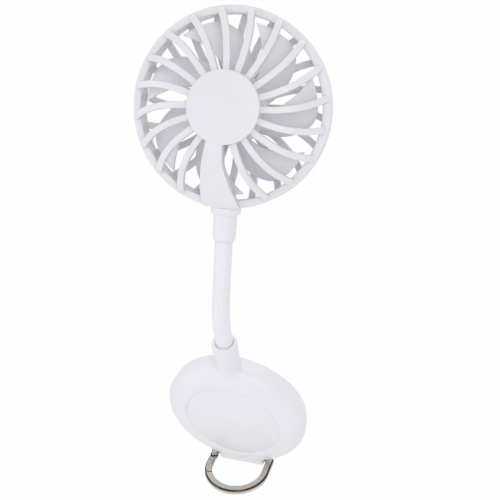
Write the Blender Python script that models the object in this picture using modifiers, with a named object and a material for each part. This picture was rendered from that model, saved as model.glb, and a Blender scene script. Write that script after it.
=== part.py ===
"""Portable fan on a magnetic puck: a bendy neck carries a caged seven-blade head.

Metres, +Z up, +Y away from the viewer. The origin is the middle of the flat
magnetic face that rests on what the fan is put on.
"""

import math

import bmesh
import bpy
from mathutils import Matrix, Vector

# Shared clearances and overruns
GAP = 0.0003
OVERRUN = 0.002
ROUND_STEPS = 44
SMALL_STEPS = 12
FINE_ANGLE = math.radians(35)
FLAT_ANGLE = math.radians(0.5)
QUARTER_TURN = math.radians(90)

# Puck: a low round housing, flat at the back and domed to a flat front
PUCK_RADIUS = 0.0311
PUCK_TUCK = 0.0010
PUCK_SHOULDER = 0.00985
PUCK_WIDEST_DEPTH = 0.0069
PUCK_DEPTH = 0.0134
PUCK_WALL = 0.0016
PUCK_BACK_DEPTH = 0.00066
DOME_STEPS = 5
PUCK_BACK_RADIUS = PUCK_RADIUS - PUCK_TUCK
PUCK_FRONT_RADIUS = PUCK_RADIUS - PUCK_SHOULDER

# Back plate, contact pad and front disc
PLATE_THICKNESS = 0.0022
PLATE_LIP = 0.0013
PAD_THICKNESS = 0.0012
PAD_BORDER = 0.0030
INLAY_THICKNESS = 0.0011
PAD_RADIUS = PUCK_BACK_RADIUS - PLATE_LIP - PAD_BORDER

# Socket boss that holds the neck
BOSS_RADIUS = 0.00535
BOSS_DEPTH = 0.0077
BOSS_RISE = 0.0152
BOSS_ROOT_DEPTH = 0.0106
BOSS_BORE_LENGTH = 0.0165
BOSS_ROUNDING = 0.0008
BOSS_FLARE = 0.0018
BOSS_BLEND_STEPS = 6
BOSS_BLEND_POWER = 2.0
BOSS_BLEND_TOP_SHARE = 0.62
STEM_WALL = 0.0006
BOSS_TOP = PUCK_RADIUS + BOSS_RISE
BOSS_ROOT = PUCK_RADIUS - BOSS_ROOT_DEPTH

# Lug for the stand ring
LUG_SIDE_GAP = 0.00098
LUG_RADIUS = 0.0021
LUG_ROOT = 0.0040
HINGE_SHIFT = -0.0004
RING_PIN_DEPTH = 0.0078
RING_PIN_CLEAR = 0.0008
RING_BAR_RADIUS = 0.0009
RING_EYE_EASE = 0.00015
RING_PIN_DROP = PUCK_RADIUS + RING_PIN_CLEAR

# Stand ring and its sprung gate
RING_LIFT = math.radians(10)
RING_BAND = 0.00327
RING_OUTER_RADIUS = 0.01475
RING_HEIGHT = 0.0029
RING_CENTRE_REACH = 0.0082
RING_EDGE = 0.0006
RING_ARC_STEPS = 18
GATE_PIN_BACK = 0.0047
GATE_PIN_RADIUS = 0.0005
GATE_PIN_EASE = 0.0002
GATE_NOSE_REACH = 0.0060
GATE_TONGUE = 0.0008
GATE_TONGUE_RADIUS = 0.0014
GATE_SLOT_BACK = 0.0020
GATE_SLOT_AHEAD = 0.0039
GATE_TAIL = 0.0028
RING_INNER_RADIUS = RING_OUTER_RADIUS - RING_BAND
LUG_WIDTH = 2 * (RING_INNER_RADIUS - LUG_SIDE_GAP)

# Lid screws and their posts inside the puck
SCREW_RING_INSET = 0.0111
SCREW_START = math.radians(60)
SCREW_HEAD_RADIUS = 0.0016
SCREW_HEAD_HEIGHT = 0.0006
SCREW_RADIUS = 0.0009
SCREW_LENGTH = 0.0050
POST_RADIUS = 0.0024
POST_ROOT = 0.0004
POST_CLEARANCE = 0.0009
SCREW_RING = PUCK_RADIUS - SCREW_RING_INSET

# Magnets, cell and circuit board
MAGNET_COUNT = 16
MAGNET_INSET = 0.0043
MAGNET_WIDTH = 0.0038
MAGNET_THICKNESS = 0.0014
MAGNET_SPLIT = math.radians(1.2)
YOKE_THICKNESS = 0.0004
BOARD_INSET = 0.0047
BOARD_THICKNESS = 0.0008
BOARD_LIFT = 0.0012
BATTERY_INSET = 0.0113
BATTERY_BOARD_GAP = 0.0015
BATTERY_HEADROOM = 0.00074
BATTERY_ROUNDING = 0.0010
MAGNET_OUTER = PUCK_RADIUS - MAGNET_INSET
MAGNET_INNER = MAGNET_OUTER - MAGNET_WIDTH
BOARD_RADIUS = PUCK_RADIUS - BOARD_INSET
BOARD_EDGE = SCREW_RING * math.cos(SCREW_START) + POST_RADIUS + POST_CLEARANCE

# Charging port, power button with its switch, and status light
PORT_WIDTH = 0.0089
PORT_HEIGHT = 0.0032
PORT_LENGTH = 0.0072
PORT_WALL = 0.0003
PORT_BACK_WALL = 0.0009
PORT_TUCK = 0.0016
PORT_TONGUE = 0.0007
PORT_TONGUE_WIDTH = 0.0066
PORT_TONGUE_SHARE = 0.8
BUTTON_ANGLE = math.radians(222)
BUTTON_LENGTH = 0.0086
BUTTON_HEIGHT = 0.0030
BUTTON_ROUNDING = 0.00075
BUTTON_PROUD = 0.0005
BUTTON_TRAVEL = 0.0004
BUTTON_DEEP = 0.0034
SWITCH_SIZE = 0.0036
SWITCH_HEIGHT = 0.0022
SWITCH_LEAN = 0.0020
LIGHT_ANGLE = math.radians(203)
LIGHT_RADIUS = 0.0006
LIGHT_LENGTH = 0.0032
LIGHT_TUCK = 0.0008
PORT_FACE = PUCK_RADIUS - PORT_TUCK

# Bendy neck: a smooth sleeve over a jointed core
NECK_RADIUS = 0.00355
SLEEVE_WALL = 0.00080
CORE_RADIUS = 0.0019
NECK_LENGTH = 0.043255
NECK_LEAN = math.radians(35.72)
NECK_BULGE = math.radians(14.703)
NECK_SWAY = math.radians(5.64)
NECK_TURN = math.radians(-1.34)
NECK_BEND_SHARE = 0.58
NECK_JOINTS = 7
NECK_STEPS = 140
NECK_INSERT = 0.0040
CORE_INSERT = 0.0120
ANCHOR_LENGTH = 0.0072
ANCHOR_WALL = 0.0012
FERRULE_INSERT = 0.0020
CORE_IN_FERRULE = 0.0075
SLEEVE_BORE = NECK_RADIUS - SLEEVE_WALL

# Ferrule under the head
FERRULE_LENGTH = 0.0134
FERRULE_RADIUS = 0.0047
FERRULE_CHAMFER = 0.0018
FLANGE_RADIUS = 0.0060
FLANGE_HEIGHT = 0.0030
FLANGE_CHAMFER = 0.0009
CLAMP_HEAD_RADIUS = 0.0022
CLAMP_HEAD_HEIGHT = 0.0011
CLAMP_RADIUS = 0.0009
CLAMP_LENGTH = 0.0080
CLAMP_CUT_LENGTH = 0.0070

# Head: two grilles meet in a short drum
HEAD_TWIST = math.radians(5.44)
DRUM_RADIUS = 0.0392
DRUM_DEPTH = 0.0083
DRUM_WALL = 0.0030
RIM_BAND = 0.0031
RIM_SEAM = 0.0003
RIM_RADIUS = DRUM_RADIUS - RIM_BAND
PEG_COUNT = 3
PEG_RADIUS = 0.0007
PEG_LENGTH = 0.0040

# Rear cage: hub, spokes and the strut that carries the wire
HUB_RADIUS = 0.0141
HUB_RISE = 0.0132
HUB_WALL = 0.0013
HUB_DEEP = 0.0072
HUB_EDGE = 0.0005
COVER_THICKNESS = 0.0014
SPOKE_COUNT = 20
SPOKE_WIDTH = 0.0026
SPOKE_DEEP = 0.0026
SPOKE_STEPS = 6
SPOKE_TIP_TUCK = 0.00065
SPOKE_START = math.radians(-0.1)
SPOKE_SWEEP = math.radians(-9.1)
SPOKE_SWEEP_POWER = 2
SPOKE_DOME_POWER = 2.5
SPOKE_PROUD = 0.00175
SPOKE_DROP = 0.00185
STRUT_SPOKES = (10, 11)
STRUT_DEEP = 0.0036
STRUT_TIP_DEEP = 0.0036
STRUT_TOP_DROP = 0.0114
STRUT_DOME_POWER = 1.7
STRUT_STEPS = 9
STRUT_ROOT = 0.0010
STRUT_LEFT_SHARES = (-0.401, -0.528, -0.599, -0.592)
STRUT_RIGHT_SHARES = (0.056, 0.052, 0.239, 0.489)
CHANNEL_SHARE = 0.45
CHANNEL_END_SHARE = 0.95
LEAD_RADIUS = 0.0006
LEAD_START_SHARE = 0.4

# Front cage: spokes, a small hub and its plain cap
FRONT_HUB_RADIUS = 0.0115
FRONT_HUB_RISE = 0.0078
FRONT_SPOKE_START = math.radians(-4.4)
FRONT_SPOKE_DROP = 0.0016
CAP_THICKNESS = 0.0009
CAP_BORDER = 0.0025
CAP_RADIUS = FRONT_HUB_RADIUS - CAP_BORDER

# Motor and impeller
MOTOR_RADIUS = 0.0090
MOTOR_LENGTH = 0.0135
SOCKET_WALL = 0.0012
SOCKET_HEIGHT = 0.0030
SHAFT_RADIUS = 0.0009
SHAFT_LENGTH = 0.0120
IMPELLER_HUB_RADIUS = 0.0141
IMPELLER_HUB_WALL = 0.0012
IMPELLER_FRONT = 0.0062
IMPELLER_BACK = 0.0092
IMPELLER_BOSS_RADIUS = 0.0026
IMPELLER_BOSS_LENGTH = 0.0040
BLADE_COUNT = 7
BLADE_TIP_CLEARANCE = 0.0023
BLADE_THICKNESS = 0.0010
BLADE_TIP_ANGLE = math.radians(29.8)
BLADE_TIP_HALF = math.radians(16.5)
BLADE_ROOT_HALF = math.radians(18.0)
BLADE_SWEEP = math.radians(30.5)
BLADE_TIP_RISE = 0.0026
BLADE_ROOT_RISE = 0.0044
BLADE_TRIM_SHARE = 0.06
BLADE_STEPS = 5
BLADE_TIP_RADIUS = RIM_RADIUS - BLADE_TIP_CLEARANCE


def clear_scene():
    """Empty the scene so that the script can be run again."""
    for obj in list(bpy.data.objects):
        bpy.data.objects.remove(obj, do_unlink=True)


def make_collection(name):
    """Make a collection under the scene."""
    collection = bpy.data.collections.new(name)
    bpy.context.scene.collection.children.link(collection)
    return collection


clear_scene()
PARTS = make_collection("portable_fan")
CUTTERS = make_collection("cutters")


def material(name, colour, metallic, roughness):
    """Make a Principled material."""
    mat = bpy.data.materials.new(name)
    mat.use_nodes = True
    shader = mat.node_tree.nodes["Principled BSDF"]
    shader.inputs["Base Color"].default_value = (*colour, 1)
    shader.inputs["Metallic"].default_value = metallic
    shader.inputs["Roughness"].default_value = roughness
    mat.diffuse_color = (*colour, 1)
    return mat


def white_plastic():
    """Satin white housing plastic."""
    return material("white_plastic", (0.80, 0.80, 0.84), 0, 0.38)


def pale_rubber():
    """Soft white sleeve and pad."""
    return material("pale_rubber", (0.74, 0.74, 0.77), 0, 0.6)


def nickel():
    """Warm nickel plating."""
    return material("nickel", (0.62, 0.58, 0.52), 1, 0.28)


def steel():
    """Plain bright steel."""
    return material("steel", (0.55, 0.55, 0.57), 1, 0.35)


def magnet_grey():
    """Plated magnets."""
    return material("magnet_grey", (0.42, 0.42, 0.44), 1, 0.4)


def board_green():
    """Circuit board lacquer."""
    return material("board_green", (0.03, 0.22, 0.10), 0, 0.45)


def cell_grey():
    """Battery pouch foil."""
    return material("cell_grey", (0.45, 0.46, 0.50), 0.6, 0.45)


def dark_plastic():
    """Black switch body."""
    return material("dark_plastic", (0.04, 0.04, 0.045), 0, 0.5)


def clear_light():
    """Cloudy light pipe."""
    return material("clear_light", (0.75, 0.85, 0.80), 0, 0.2)


def guide(name, location, rotation=(0, 0, 0), parent=None):
    """Make an empty that carries other pieces."""
    empty = bpy.data.objects.new(name, None)
    empty.empty_display_size = PUCK_WALL
    empty.location = location
    empty.rotation_euler = rotation
    empty.parent = parent
    CUTTERS.objects.link(empty)
    bpy.context.view_layer.update()
    return empty


def add_object(name, data, parent, mat=None):
    """Link new data as a part where a material is given, else as a cutter."""
    obj = bpy.data.objects.new(name, data)
    obj.parent = parent
    if mat:
        PARTS.objects.link(obj)
        data.materials.append(mat)
    else:
        CUTTERS.objects.link(obj)
        obj.hide_render = True
        obj.display_type = "WIRE"
    return obj


def smooth(obj):
    """Shade round faces smooth and keep real edges sharp."""
    obj.data.shade_smooth()
    obj.data.set_sharp_from_angle(angle=FINE_ANGLE)
    return obj


def mesh_from(name, points, faces):
    """Make mesh data from computed points."""
    mesh = bpy.data.meshes.new(name)
    mesh.from_pydata(points, [], faces)
    mesh.update()
    return mesh


def boolean(obj, other, operation):
    """Join or cut with another object."""
    mod = obj.modifiers.new(operation.lower(), "BOOLEAN")
    mod.operation = operation
    mod.object = other
    mod.solver = "EXACT"
    return mod


def welded(mesh):
    """Merge points that lie on one another."""
    work = bmesh.new()
    work.from_mesh(mesh)
    bmesh.ops.remove_doubles(work, verts=work.verts, dist=GAP / ROUND_STEPS)
    bmesh.ops.dissolve_degenerate(work, edges=work.edges, dist=GAP / ROUND_STEPS)
    work.to_mesh(mesh)
    work.free()
    return mesh


def bake(obj):
    """Turn an object's evaluated shape into plain mesh data."""
    bpy.context.view_layer.update()
    graph = bpy.context.evaluated_depsgraph_get()
    mesh = bpy.data.meshes.new_from_object(obj.evaluated_get(graph))
    obj.modifiers.clear()
    obj.data = welded(mesh)
    return obj


def turned(name, outline, parent, mat=None, steps=ROUND_STEPS):
    """Turn an outline of (radius, height) points about the local Z axis.

    The outline runs down its outer side. It starts and ends on the axis, or
    it is a closed loop.
    """
    points = [(radius, 0, height) for radius, height in outline]
    edges = [(i, i + 1) for i in range(len(points) - 1)]
    if outline[0][0] > 0:
        edges.append((len(points) - 1, 0))
    mesh = bpy.data.meshes.new(name)
    mesh.from_pydata(points, edges, [])
    obj = add_object(name, mesh, parent, mat)
    mod = obj.modifiers.new("turn", "SCREW")
    mod.steps = steps
    mod.render_steps = steps
    mod.use_merge_vertices = True
    mod.merge_threshold = GAP / ROUND_STEPS
    mod.use_smooth_shade = False
    return bake(obj)


def disc(radius, bottom, top):
    """Outline of a plain disc."""
    return [(0, top), (radius, top), (radius, bottom), (0, bottom)]


def tube(inner, outer, bottom, top):
    """Outline of a plain tube."""
    return [(outer, top), (outer, bottom), (inner, bottom), (inner, top)]


def place(obj, location, rotation=(0, 0, 0)):
    """Set an object's place under its parent."""
    obj.location = location
    obj.rotation_euler = rotation
    return obj


def box(name, size, centre, parent, mat=None):
    """Make a box of a given size."""
    bpy.ops.mesh.primitive_cube_add(size=1)
    obj = bpy.context.active_object
    for old in list(obj.users_collection):
        old.objects.unlink(obj)
    mesh = obj.data
    bpy.data.objects.remove(obj, do_unlink=True)
    mesh.transform(Matrix.Diagonal((*size, 1)))
    obj = add_object(name, mesh, parent, mat)
    obj.location = centre
    return obj


def bevelled(obj, width, segments=2):
    """Round the sharp edges of a piece."""
    mod = obj.modifiers.new("rounding", "BEVEL")
    mod.width = width
    mod.segments = segments
    mod.limit_method = "ANGLE"
    return bake(obj)


def whole_faces(obj):
    """Join flat triangles into whole faces, so that an edge can be rounded."""
    work = bmesh.new()
    work.from_mesh(obj.data)
    bmesh.ops.dissolve_limit(work, angle_limit=FLAT_ANGLE, verts=work.verts,
                             edges=work.edges)
    work.to_mesh(obj.data)
    work.free()
    return obj


def plate(name, outline, thickness, parent, mat=None):
    """Make a flat outline in XY with a thickness centred on Z = 0."""
    curve = bpy.data.curves.new(name, "CURVE")
    curve.dimensions = "2D"
    curve.fill_mode = "BOTH"
    curve.extrude = thickness / 2
    spline = curve.splines.new("POLY")
    spline.points.add(len(outline) - 1)
    for point, (x, y) in zip(spline.points, outline):
        point.co = (x, y, 0, 1)
    spline.use_cyclic_u = True
    return solid_curve(name, curve, parent, mat)


def rod(name, points, radii, parent, mat=None, resolution=3):
    """Run a round rod through points, with its own radius at each."""
    curve = bpy.data.curves.new(name, "CURVE")
    curve.dimensions = "3D"
    curve.twist_mode = "MINIMUM"
    curve.bevel_depth = max(radii)
    curve.bevel_resolution = resolution
    curve.use_fill_caps = True
    spline = curve.splines.new("POLY")
    spline.points.add(len(points) - 1)
    for point, spot, radius in zip(spline.points, points, radii):
        point.co = (*spot, 1)
        point.radius = radius / max(radii)
    return solid_curve(name, curve, parent, mat)


def solid_curve(name, curve, parent, mat):
    """Make closed mesh data from a curve."""
    holder = bpy.data.objects.new(name + "_path", curve)
    CUTTERS.objects.link(holder)
    bpy.context.view_layer.update()
    graph = bpy.context.evaluated_depsgraph_get()
    mesh = bpy.data.meshes.new_from_object(holder.evaluated_get(graph))
    work = bmesh.new()
    work.from_mesh(mesh)
    bmesh.ops.remove_doubles(work, verts=work.verts, dist=GAP / ROUND_STEPS)
    bmesh.ops.recalc_face_normals(work, faces=work.faces)
    work.to_mesh(mesh)
    work.free()
    bpy.data.objects.remove(holder, do_unlink=True)
    bpy.data.curves.remove(curve)
    mesh.materials.clear()
    return add_object(name, mesh, parent, mat)


def loft(name, sections, parent, mat=None):
    """Skin a row of matching sections into a closed body."""
    count = len(sections[0])
    points = [p for section in sections for p in section]
    faces = []
    for i in range(len(sections) - 1):
        for j in range(count):
            a = i * count + j
            b = i * count + (j + 1) % count
            faces.append((a, b, b + count, a + count))
    faces.append(tuple(reversed(range(count))))
    faces.append(tuple(range(len(points) - count, len(points))))
    obj = add_object(name, mesh_from(name, points, faces), parent, mat)
    return face_out(obj)


def face_out(obj):
    """Point every face of a closed body outward."""
    work = bmesh.new()
    work.from_mesh(obj.data)
    bmesh.ops.recalc_face_normals(work, faces=work.faces)
    work.to_mesh(obj.data)
    work.free()
    return obj


def merged(name, pieces, parent, mat=None):
    """Put separate solids into one object."""
    bpy.context.view_layer.update()
    work = bmesh.new()
    for piece in pieces:
        mesh = piece.data.copy()
        mesh.transform(parent.matrix_world.inverted() @ piece.matrix_world)
        work.from_mesh(mesh)
        bpy.data.meshes.remove(mesh)
        bpy.data.objects.remove(piece, do_unlink=True)
    mesh = bpy.data.meshes.new(name)
    work.to_mesh(mesh)
    work.free()
    return add_object(name, mesh, parent, mat)


def joined(obj, others):
    """Fuse other solids into a piece."""
    for other in others:
        boolean(obj, other, "UNION")
        bake(obj)
    return obj


def cut(obj, others):
    """Cut other solids out of a piece."""
    for other in others:
        boolean(obj, other, "DIFFERENCE")
        bake(obj)
    return obj


# In the puck frame, X is right, Y is up and Z is the depth toward the viewer
PUCK_FRAME = guide("puck_frame", (0, 0, 0), (QUARTER_TURN, 0, 0))


def dome_outline(wall, front, back):
    """Points down the puck's side from its front to its back."""
    points = []
    for i in range(DOME_STEPS + 1):
        turn = QUARTER_TURN * i / DOME_STEPS
        across = PUCK_RADIUS - PUCK_FRONT_RADIUS
        along = front - PUCK_WIDEST_DEPTH
        radius = PUCK_FRONT_RADIUS + across * math.sin(turn) - wall
        points.append((radius, PUCK_WIDEST_DEPTH + along * math.cos(turn)))
    points.append((PUCK_BACK_RADIUS - wall, back))
    return points


INLAY_FLOOR = PUCK_DEPTH - INLAY_THICKNESS - GAP
FRONT_INSIDE = INLAY_FLOOR - PUCK_WALL / 2
PLATE_INSIDE = PUCK_BACK_DEPTH + PLATE_THICKNESS
PLATE_RADIUS = PUCK_BACK_RADIUS - PLATE_LIP - GAP
BOSS_BORE_RADIUS = NECK_RADIUS + GAP


def boss_sections():
    """Rings of the socket boss, from its root in the dome to its mouth."""
    rings = []
    rounding = BOSS_ROUNDING
    blend = BOSS_ROOT + (BOSS_TOP - BOSS_ROOT) * BOSS_BLEND_TOP_SHARE
    steps = BOSS_BLEND_STEPS
    heights = [BOSS_ROOT + (blend - BOSS_ROOT) * i / steps
               for i in range(steps + 1)]
    full = BOSS_DEPTH + BOSS_RADIUS
    for height in heights:
        share = (blend - height) / (blend - BOSS_ROOT)
        wide = BOSS_RADIUS + BOSS_FLARE * share * share
        front = full - (full - PUCK_DEPTH + PUCK_WALL) * share ** BOSS_BLEND_POWER
        rings.append((height, wide, front - BOSS_DEPTH))
    rings.append((BOSS_TOP - rounding, BOSS_RADIUS, BOSS_RADIUS))
    top = BOSS_RADIUS - rounding * (1 - math.sqrt(0.5))
    rings.append((BOSS_TOP - rounding * (1 - math.sqrt(0.5)), top, top))
    rings.append((BOSS_TOP, BOSS_RADIUS - rounding, BOSS_RADIUS - rounding))
    sections = []
    for height, wide, reach in rings:
        section = []
        for i in range(2 * SMALL_STEPS):
            turn = math.tau * i / (2 * SMALL_STEPS)
            x = wide * math.cos(turn)
            y = math.sin(turn)
            depth = BOSS_DEPTH + y * (reach if y > 0 else BOSS_RADIUS)
            section.append((x, height, depth))
        sections.append(section)
    return sections


def screw_places():
    """Places of the four cover screws."""
    x = SCREW_RING * math.cos(SCREW_START)
    y = SCREW_RING * math.sin(SCREW_START)
    return [(x, y), (x, -y), (-x, y), (-x, -y)]


def socket_cutter():
    """The neck's bore in the boss, stepped down to the wire's way."""
    floor = BOSS_TOP - BOSS_BORE_LENGTH
    wire = CORE_RADIUS + GAP
    outline = [(0, BOSS_TOP + OVERRUN), (BOSS_BORE_RADIUS, BOSS_TOP + OVERRUN),
               (BOSS_BORE_RADIUS, floor), (wire, floor),
               (wire, BOSS_ROOT - OVERRUN), (0, BOSS_ROOT - OVERRUN)]
    bore = turned("boss_bore", outline, PUCK_FRAME, steps=2 * SMALL_STEPS)
    bore.rotation_euler = (-QUARTER_TURN, 0, 0)
    bore.location = (0, 0, BOSS_DEPTH)
    return bore


def upright(name, radius, bottom, top, parent, steps=2 * SMALL_STEPS):
    """Make a round cutter or guide along the puck's upward direction."""
    obj = turned(name, disc(radius, bottom, top), parent, steps=steps)
    obj.rotation_euler = (-QUARTER_TURN, 0, 0)
    obj.location = (0, 0, BOSS_DEPTH)
    return obj


def sideways(name, radius, half, parent, up, depth, steps=SMALL_STEPS):
    """Make a round cutter or guide along X."""
    obj = turned(name, disc(radius, -half, half), parent, steps=steps)
    obj.rotation_euler = (0, QUARTER_TURN, 0)
    obj.location = (0, up, depth)
    return obj


def port_shape(name, grow, length, parent, mat=None):
    """Make the port's flat round-ended block, its mouth at the puck's side."""
    high = PORT_HEIGHT / 2 + grow
    wide = PORT_WIDTH / 2 + grow
    outline = []
    for end in (1, -1):
        for i in range(SMALL_STEPS // 2 + 1):
            turn = math.pi * i / (SMALL_STEPS // 2)
            y = end * (wide - high + high * math.sin(turn))
            outline.append((end * high * math.cos(turn), y))
    obj = plate(name, outline, length, parent, mat)
    obj.rotation_euler = (0, QUARTER_TURN, 0)
    obj.location = (length / 2 - PORT_FACE, 0, PORT_DEPTH)
    return obj


BOARD_DEPTH = PLATE_INSIDE + MAGNET_THICKNESS + YOKE_THICKNESS + BOARD_LIFT
PORT_DEPTH = BOARD_DEPTH + BOARD_THICKNESS + GAP + PORT_HEIGHT / 2


def button_block(name, grow, parent, mat=None):
    """Make the rounded bar of the power button, lying along the rim."""
    size = (BUTTON_DEEP + grow, BUTTON_LENGTH + 2 * grow, BUTTON_HEIGHT + 2 * grow)
    obj = box(name, size, (0, 0, 0), parent, mat)
    return bevelled(obj, BUTTON_ROUNDING)


def build_front_cover():
    """The domed front housing with its neck socket, ring lug and screw posts."""
    outline = [(0, INLAY_FLOOR), (PUCK_FRONT_RADIUS, INLAY_FLOOR)]
    outline += dome_outline(0, PUCK_DEPTH, PUCK_BACK_DEPTH)
    outline += [(0, PUCK_BACK_DEPTH)]
    cover = turned("base_front_cover", outline, PUCK_FRAME, white_plastic())
    boss = loft("boss_core", boss_sections(), PUCK_FRAME)
    lug = plate("lug_core", lug_outline(), LUG_WIDTH, PUCK_FRAME)
    lug.rotation_euler = (0, -QUARTER_TURN, 0)
    lug.location = (HINGE_SHIFT, 0, 0)
    posts = []
    for i, (x, y) in enumerate(screw_places()):
        top = FRONT_INSIDE + POST_ROOT
        shape = disc(POST_RADIUS, PLATE_INSIDE + GAP, top)
        post = turned("post_%d" % i, shape, PUCK_FRAME, steps=SMALL_STEPS)
        posts.append(place(post, (x, y, 0)))
    joined(cover, [boss, lug])
    cut(cover, [cavity_cutter()])
    stem = upright("boss_stem", BOSS_BORE_RADIUS + STEM_WALL,
                   MAGNET_OUTER + 2 * GAP, PUCK_RADIUS + PUCK_WALL,
                   PUCK_FRAME)
    joined(cover, posts + [stem])
    cutters = [socket_cutter()]
    cutters.append(sideways("bar_way", RING_BAR_RADIUS + GAP, LUG_WIDTH,
                            PUCK_FRAME, -RING_PIN_DROP, RING_PIN_DEPTH))
    for i, (x, y) in enumerate(screw_places()):
        deep = PLATE_INSIDE + SCREW_LENGTH
        shape = disc(SCREW_RADIUS + GAP, PUCK_BACK_DEPTH, deep)
        hole = turned("pilot_%d" % i, shape, PUCK_FRAME, steps=SMALL_STEPS)
        cutters.append(place(hole, (x, y, 0)))
    cutters.append(port_shape("port_way", GAP, PORT_LENGTH + OVERRUN,
                              PUCK_FRAME))
    cutters[-1].location.x -= OVERRUN
    slot = button_block("button_way", GAP, RIM_BUTTON)
    cutters.append(slot)
    shape = disc(LIGHT_RADIUS + GAP, -LIGHT_LENGTH, LIGHT_LENGTH)
    hole = turned("light_way", shape, RIM_LIGHT, steps=SMALL_STEPS)
    hole.rotation_euler = (0, QUARTER_TURN, 0)
    cutters.append(hole)
    cut(cover, cutters)
    return smooth(cover)


def cavity_cutter():
    """The hollow of the puck and the lid's seat in its back."""
    inside = dome_outline(PUCK_WALL, FRONT_INSIDE, PLATE_INSIDE + GAP)
    lip = PUCK_BACK_RADIUS - PLATE_LIP
    outline = [(0, FRONT_INSIDE)] + inside
    outline += [(lip, PLATE_INSIDE + GAP), (lip, 0), (0, 0)]
    return turned("cavity", outline, PUCK_FRAME)


def lug_outline():
    """Side view of the lug: a rounded tab under the puck's lower edge."""
    points = []
    for i in range(SMALL_STEPS // 2 + 1):
        turn = math.pi * i / (SMALL_STEPS // 2)
        depth = RING_PIN_DEPTH + LUG_RADIUS * math.cos(turn)
        points.append((depth, -RING_PIN_DROP - LUG_RADIUS * math.sin(turn)))
    top = LUG_ROOT - PUCK_RADIUS
    points.append((RING_PIN_DEPTH - LUG_RADIUS, top))
    points.append((RING_PIN_DEPTH + LUG_RADIUS, top))
    return points


def rim_guide(name, angle, radius, depth):
    """An empty on the rim whose local X points out of the puck."""
    spot = (radius * math.cos(angle), radius * math.sin(angle), depth)
    return guide(name, spot, (0, 0, angle), PUCK_FRAME)


RIM_BUTTON = rim_guide("rim_button", BUTTON_ANGLE,
                       PUCK_RADIUS + BUTTON_PROUD - BUTTON_DEEP / 2,
                       PUCK_WIDEST_DEPTH + GAP)
RIM_LIGHT = rim_guide("rim_light", LIGHT_ANGLE, PUCK_RADIUS - LIGHT_TUCK,
                      PORT_DEPTH)


def build_back_plate():
    """The round lid that closes the puck and seats the contact pad."""
    recess = PAD_THICKNESS + GAP
    outline = [(0, PLATE_INSIDE), (PLATE_RADIUS, PLATE_INSIDE),
               (PLATE_RADIUS, PUCK_BACK_DEPTH),
               (PAD_RADIUS + GAP, PUCK_BACK_DEPTH),
               (PAD_RADIUS + GAP, recess), (0, recess)]
    lid = turned("base_back_plate", outline, PUCK_FRAME, white_plastic())
    cutters = []
    for i, (x, y) in enumerate(screw_places()):
        floor = recess + SCREW_HEAD_HEIGHT + GAP
        wide = SCREW_HEAD_RADIUS + GAP
        narrow = SCREW_RADIUS + GAP
        shape = [(0, PUCK_DEPTH), (narrow, PUCK_DEPTH), (narrow, floor),
                 (wide, floor), (wide, 0), (0, 0)]
        hole = turned("hole_%d" % i, shape, PUCK_FRAME, steps=SMALL_STEPS)
        cutters.append(place(hole, (x, y, 0)))
    return smooth(cut(lid, cutters))


def build_contact_pad():
    """The soft round pad that lies on the gripped surface."""
    pad = turned("contact_pad", disc(PAD_RADIUS, 0, PAD_THICKNESS),
                 PUCK_FRAME, pale_rubber())
    return smooth(pad)


def build_front_inlay():
    """The flat disc let into the front of the puck."""
    radius = PUCK_FRONT_RADIUS - 2 * GAP
    edge = GAP / 2
    outline = [(0, PUCK_DEPTH), (radius - edge, PUCK_DEPTH),
               (radius, PUCK_DEPTH - edge), (radius, INLAY_FLOOR + GAP),
               (0, INLAY_FLOOR + GAP)]
    return smooth(turned("front_inlay", outline, PUCK_FRAME, white_plastic()))


def build_cover_screws():
    """Four screws that hold the lid to the posts."""
    floor = PAD_THICKNESS + GAP
    head = floor + SCREW_HEAD_HEIGHT
    end = head + SCREW_LENGTH
    metal = steel()
    for i, (x, y) in enumerate(screw_places()):
        outline = [(0, end), (SCREW_RADIUS / 2, end),
                   (SCREW_RADIUS, end - SCREW_RADIUS), (SCREW_RADIUS, head),
                   (SCREW_HEAD_RADIUS, head), (SCREW_HEAD_RADIUS, floor),
                   (0, floor)]
        screw = turned("cover_screw_%d" % i, outline, PUCK_FRAME, metal,
                       SMALL_STEPS)
        smooth(place(screw, (x, y, 0)))


def magnet_outline(start, span):
    """Outline of one magnet, a short stretch of a flat ring."""
    outline = []
    for radius, way in ((MAGNET_OUTER, (0, 0.5, 1)), (MAGNET_INNER, (1, 0.5, 0))):
        for share in way:
            turn = start + span * share
            outline.append((radius * math.cos(turn), radius * math.sin(turn)))
    return outline


def build_magnets():
    """Sixteen magnet segments bonded to a thin steel ring."""
    low = PLATE_INSIDE + GAP
    top = low + MAGNET_THICKNESS
    edge = GAP / 2
    shape = tube(MAGNET_INNER - edge, MAGNET_OUTER + edge, top - edge,
                 top + YOKE_THICKNESS)
    ring = turned("magnet_ring", shape, PUCK_FRAME, magnet_grey(),
                  2 * MAGNET_COUNT)
    pitch = math.tau / MAGNET_COUNT
    blocks = []
    for i in range(MAGNET_COUNT):
        outline = magnet_outline(pitch * i, pitch - MAGNET_SPLIT)
        block = plate("magnet_%d" % i, outline, MAGNET_THICKNESS, PUCK_FRAME)
        block.location = (0, 0, low + MAGNET_THICKNESS / 2)
        blocks.append(block)
    return joined(ring, [merged("magnets", blocks, PUCK_FRAME)])


def build_battery():
    """The flat cell between the screw posts, beside the circuit board."""
    right = PUCK_RADIUS - BATTERY_INSET
    left = BATTERY_BOARD_GAP - BOARD_EDGE
    post_low = SCREW_RING * math.sin(SCREW_START) - POST_RADIUS
    half = post_low - POST_CLEARANCE
    high = FRONT_INSIDE - BOARD_DEPTH - BATTERY_HEADROOM
    size = (right - left, 2 * half, high)
    centre = ((right + left) / 2, 0, BOARD_DEPTH + high / 2)
    cell = box("battery_cell", size, centre, PUCK_FRAME, cell_grey())
    return smooth(bevelled(cell, BATTERY_ROUNDING))


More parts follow.
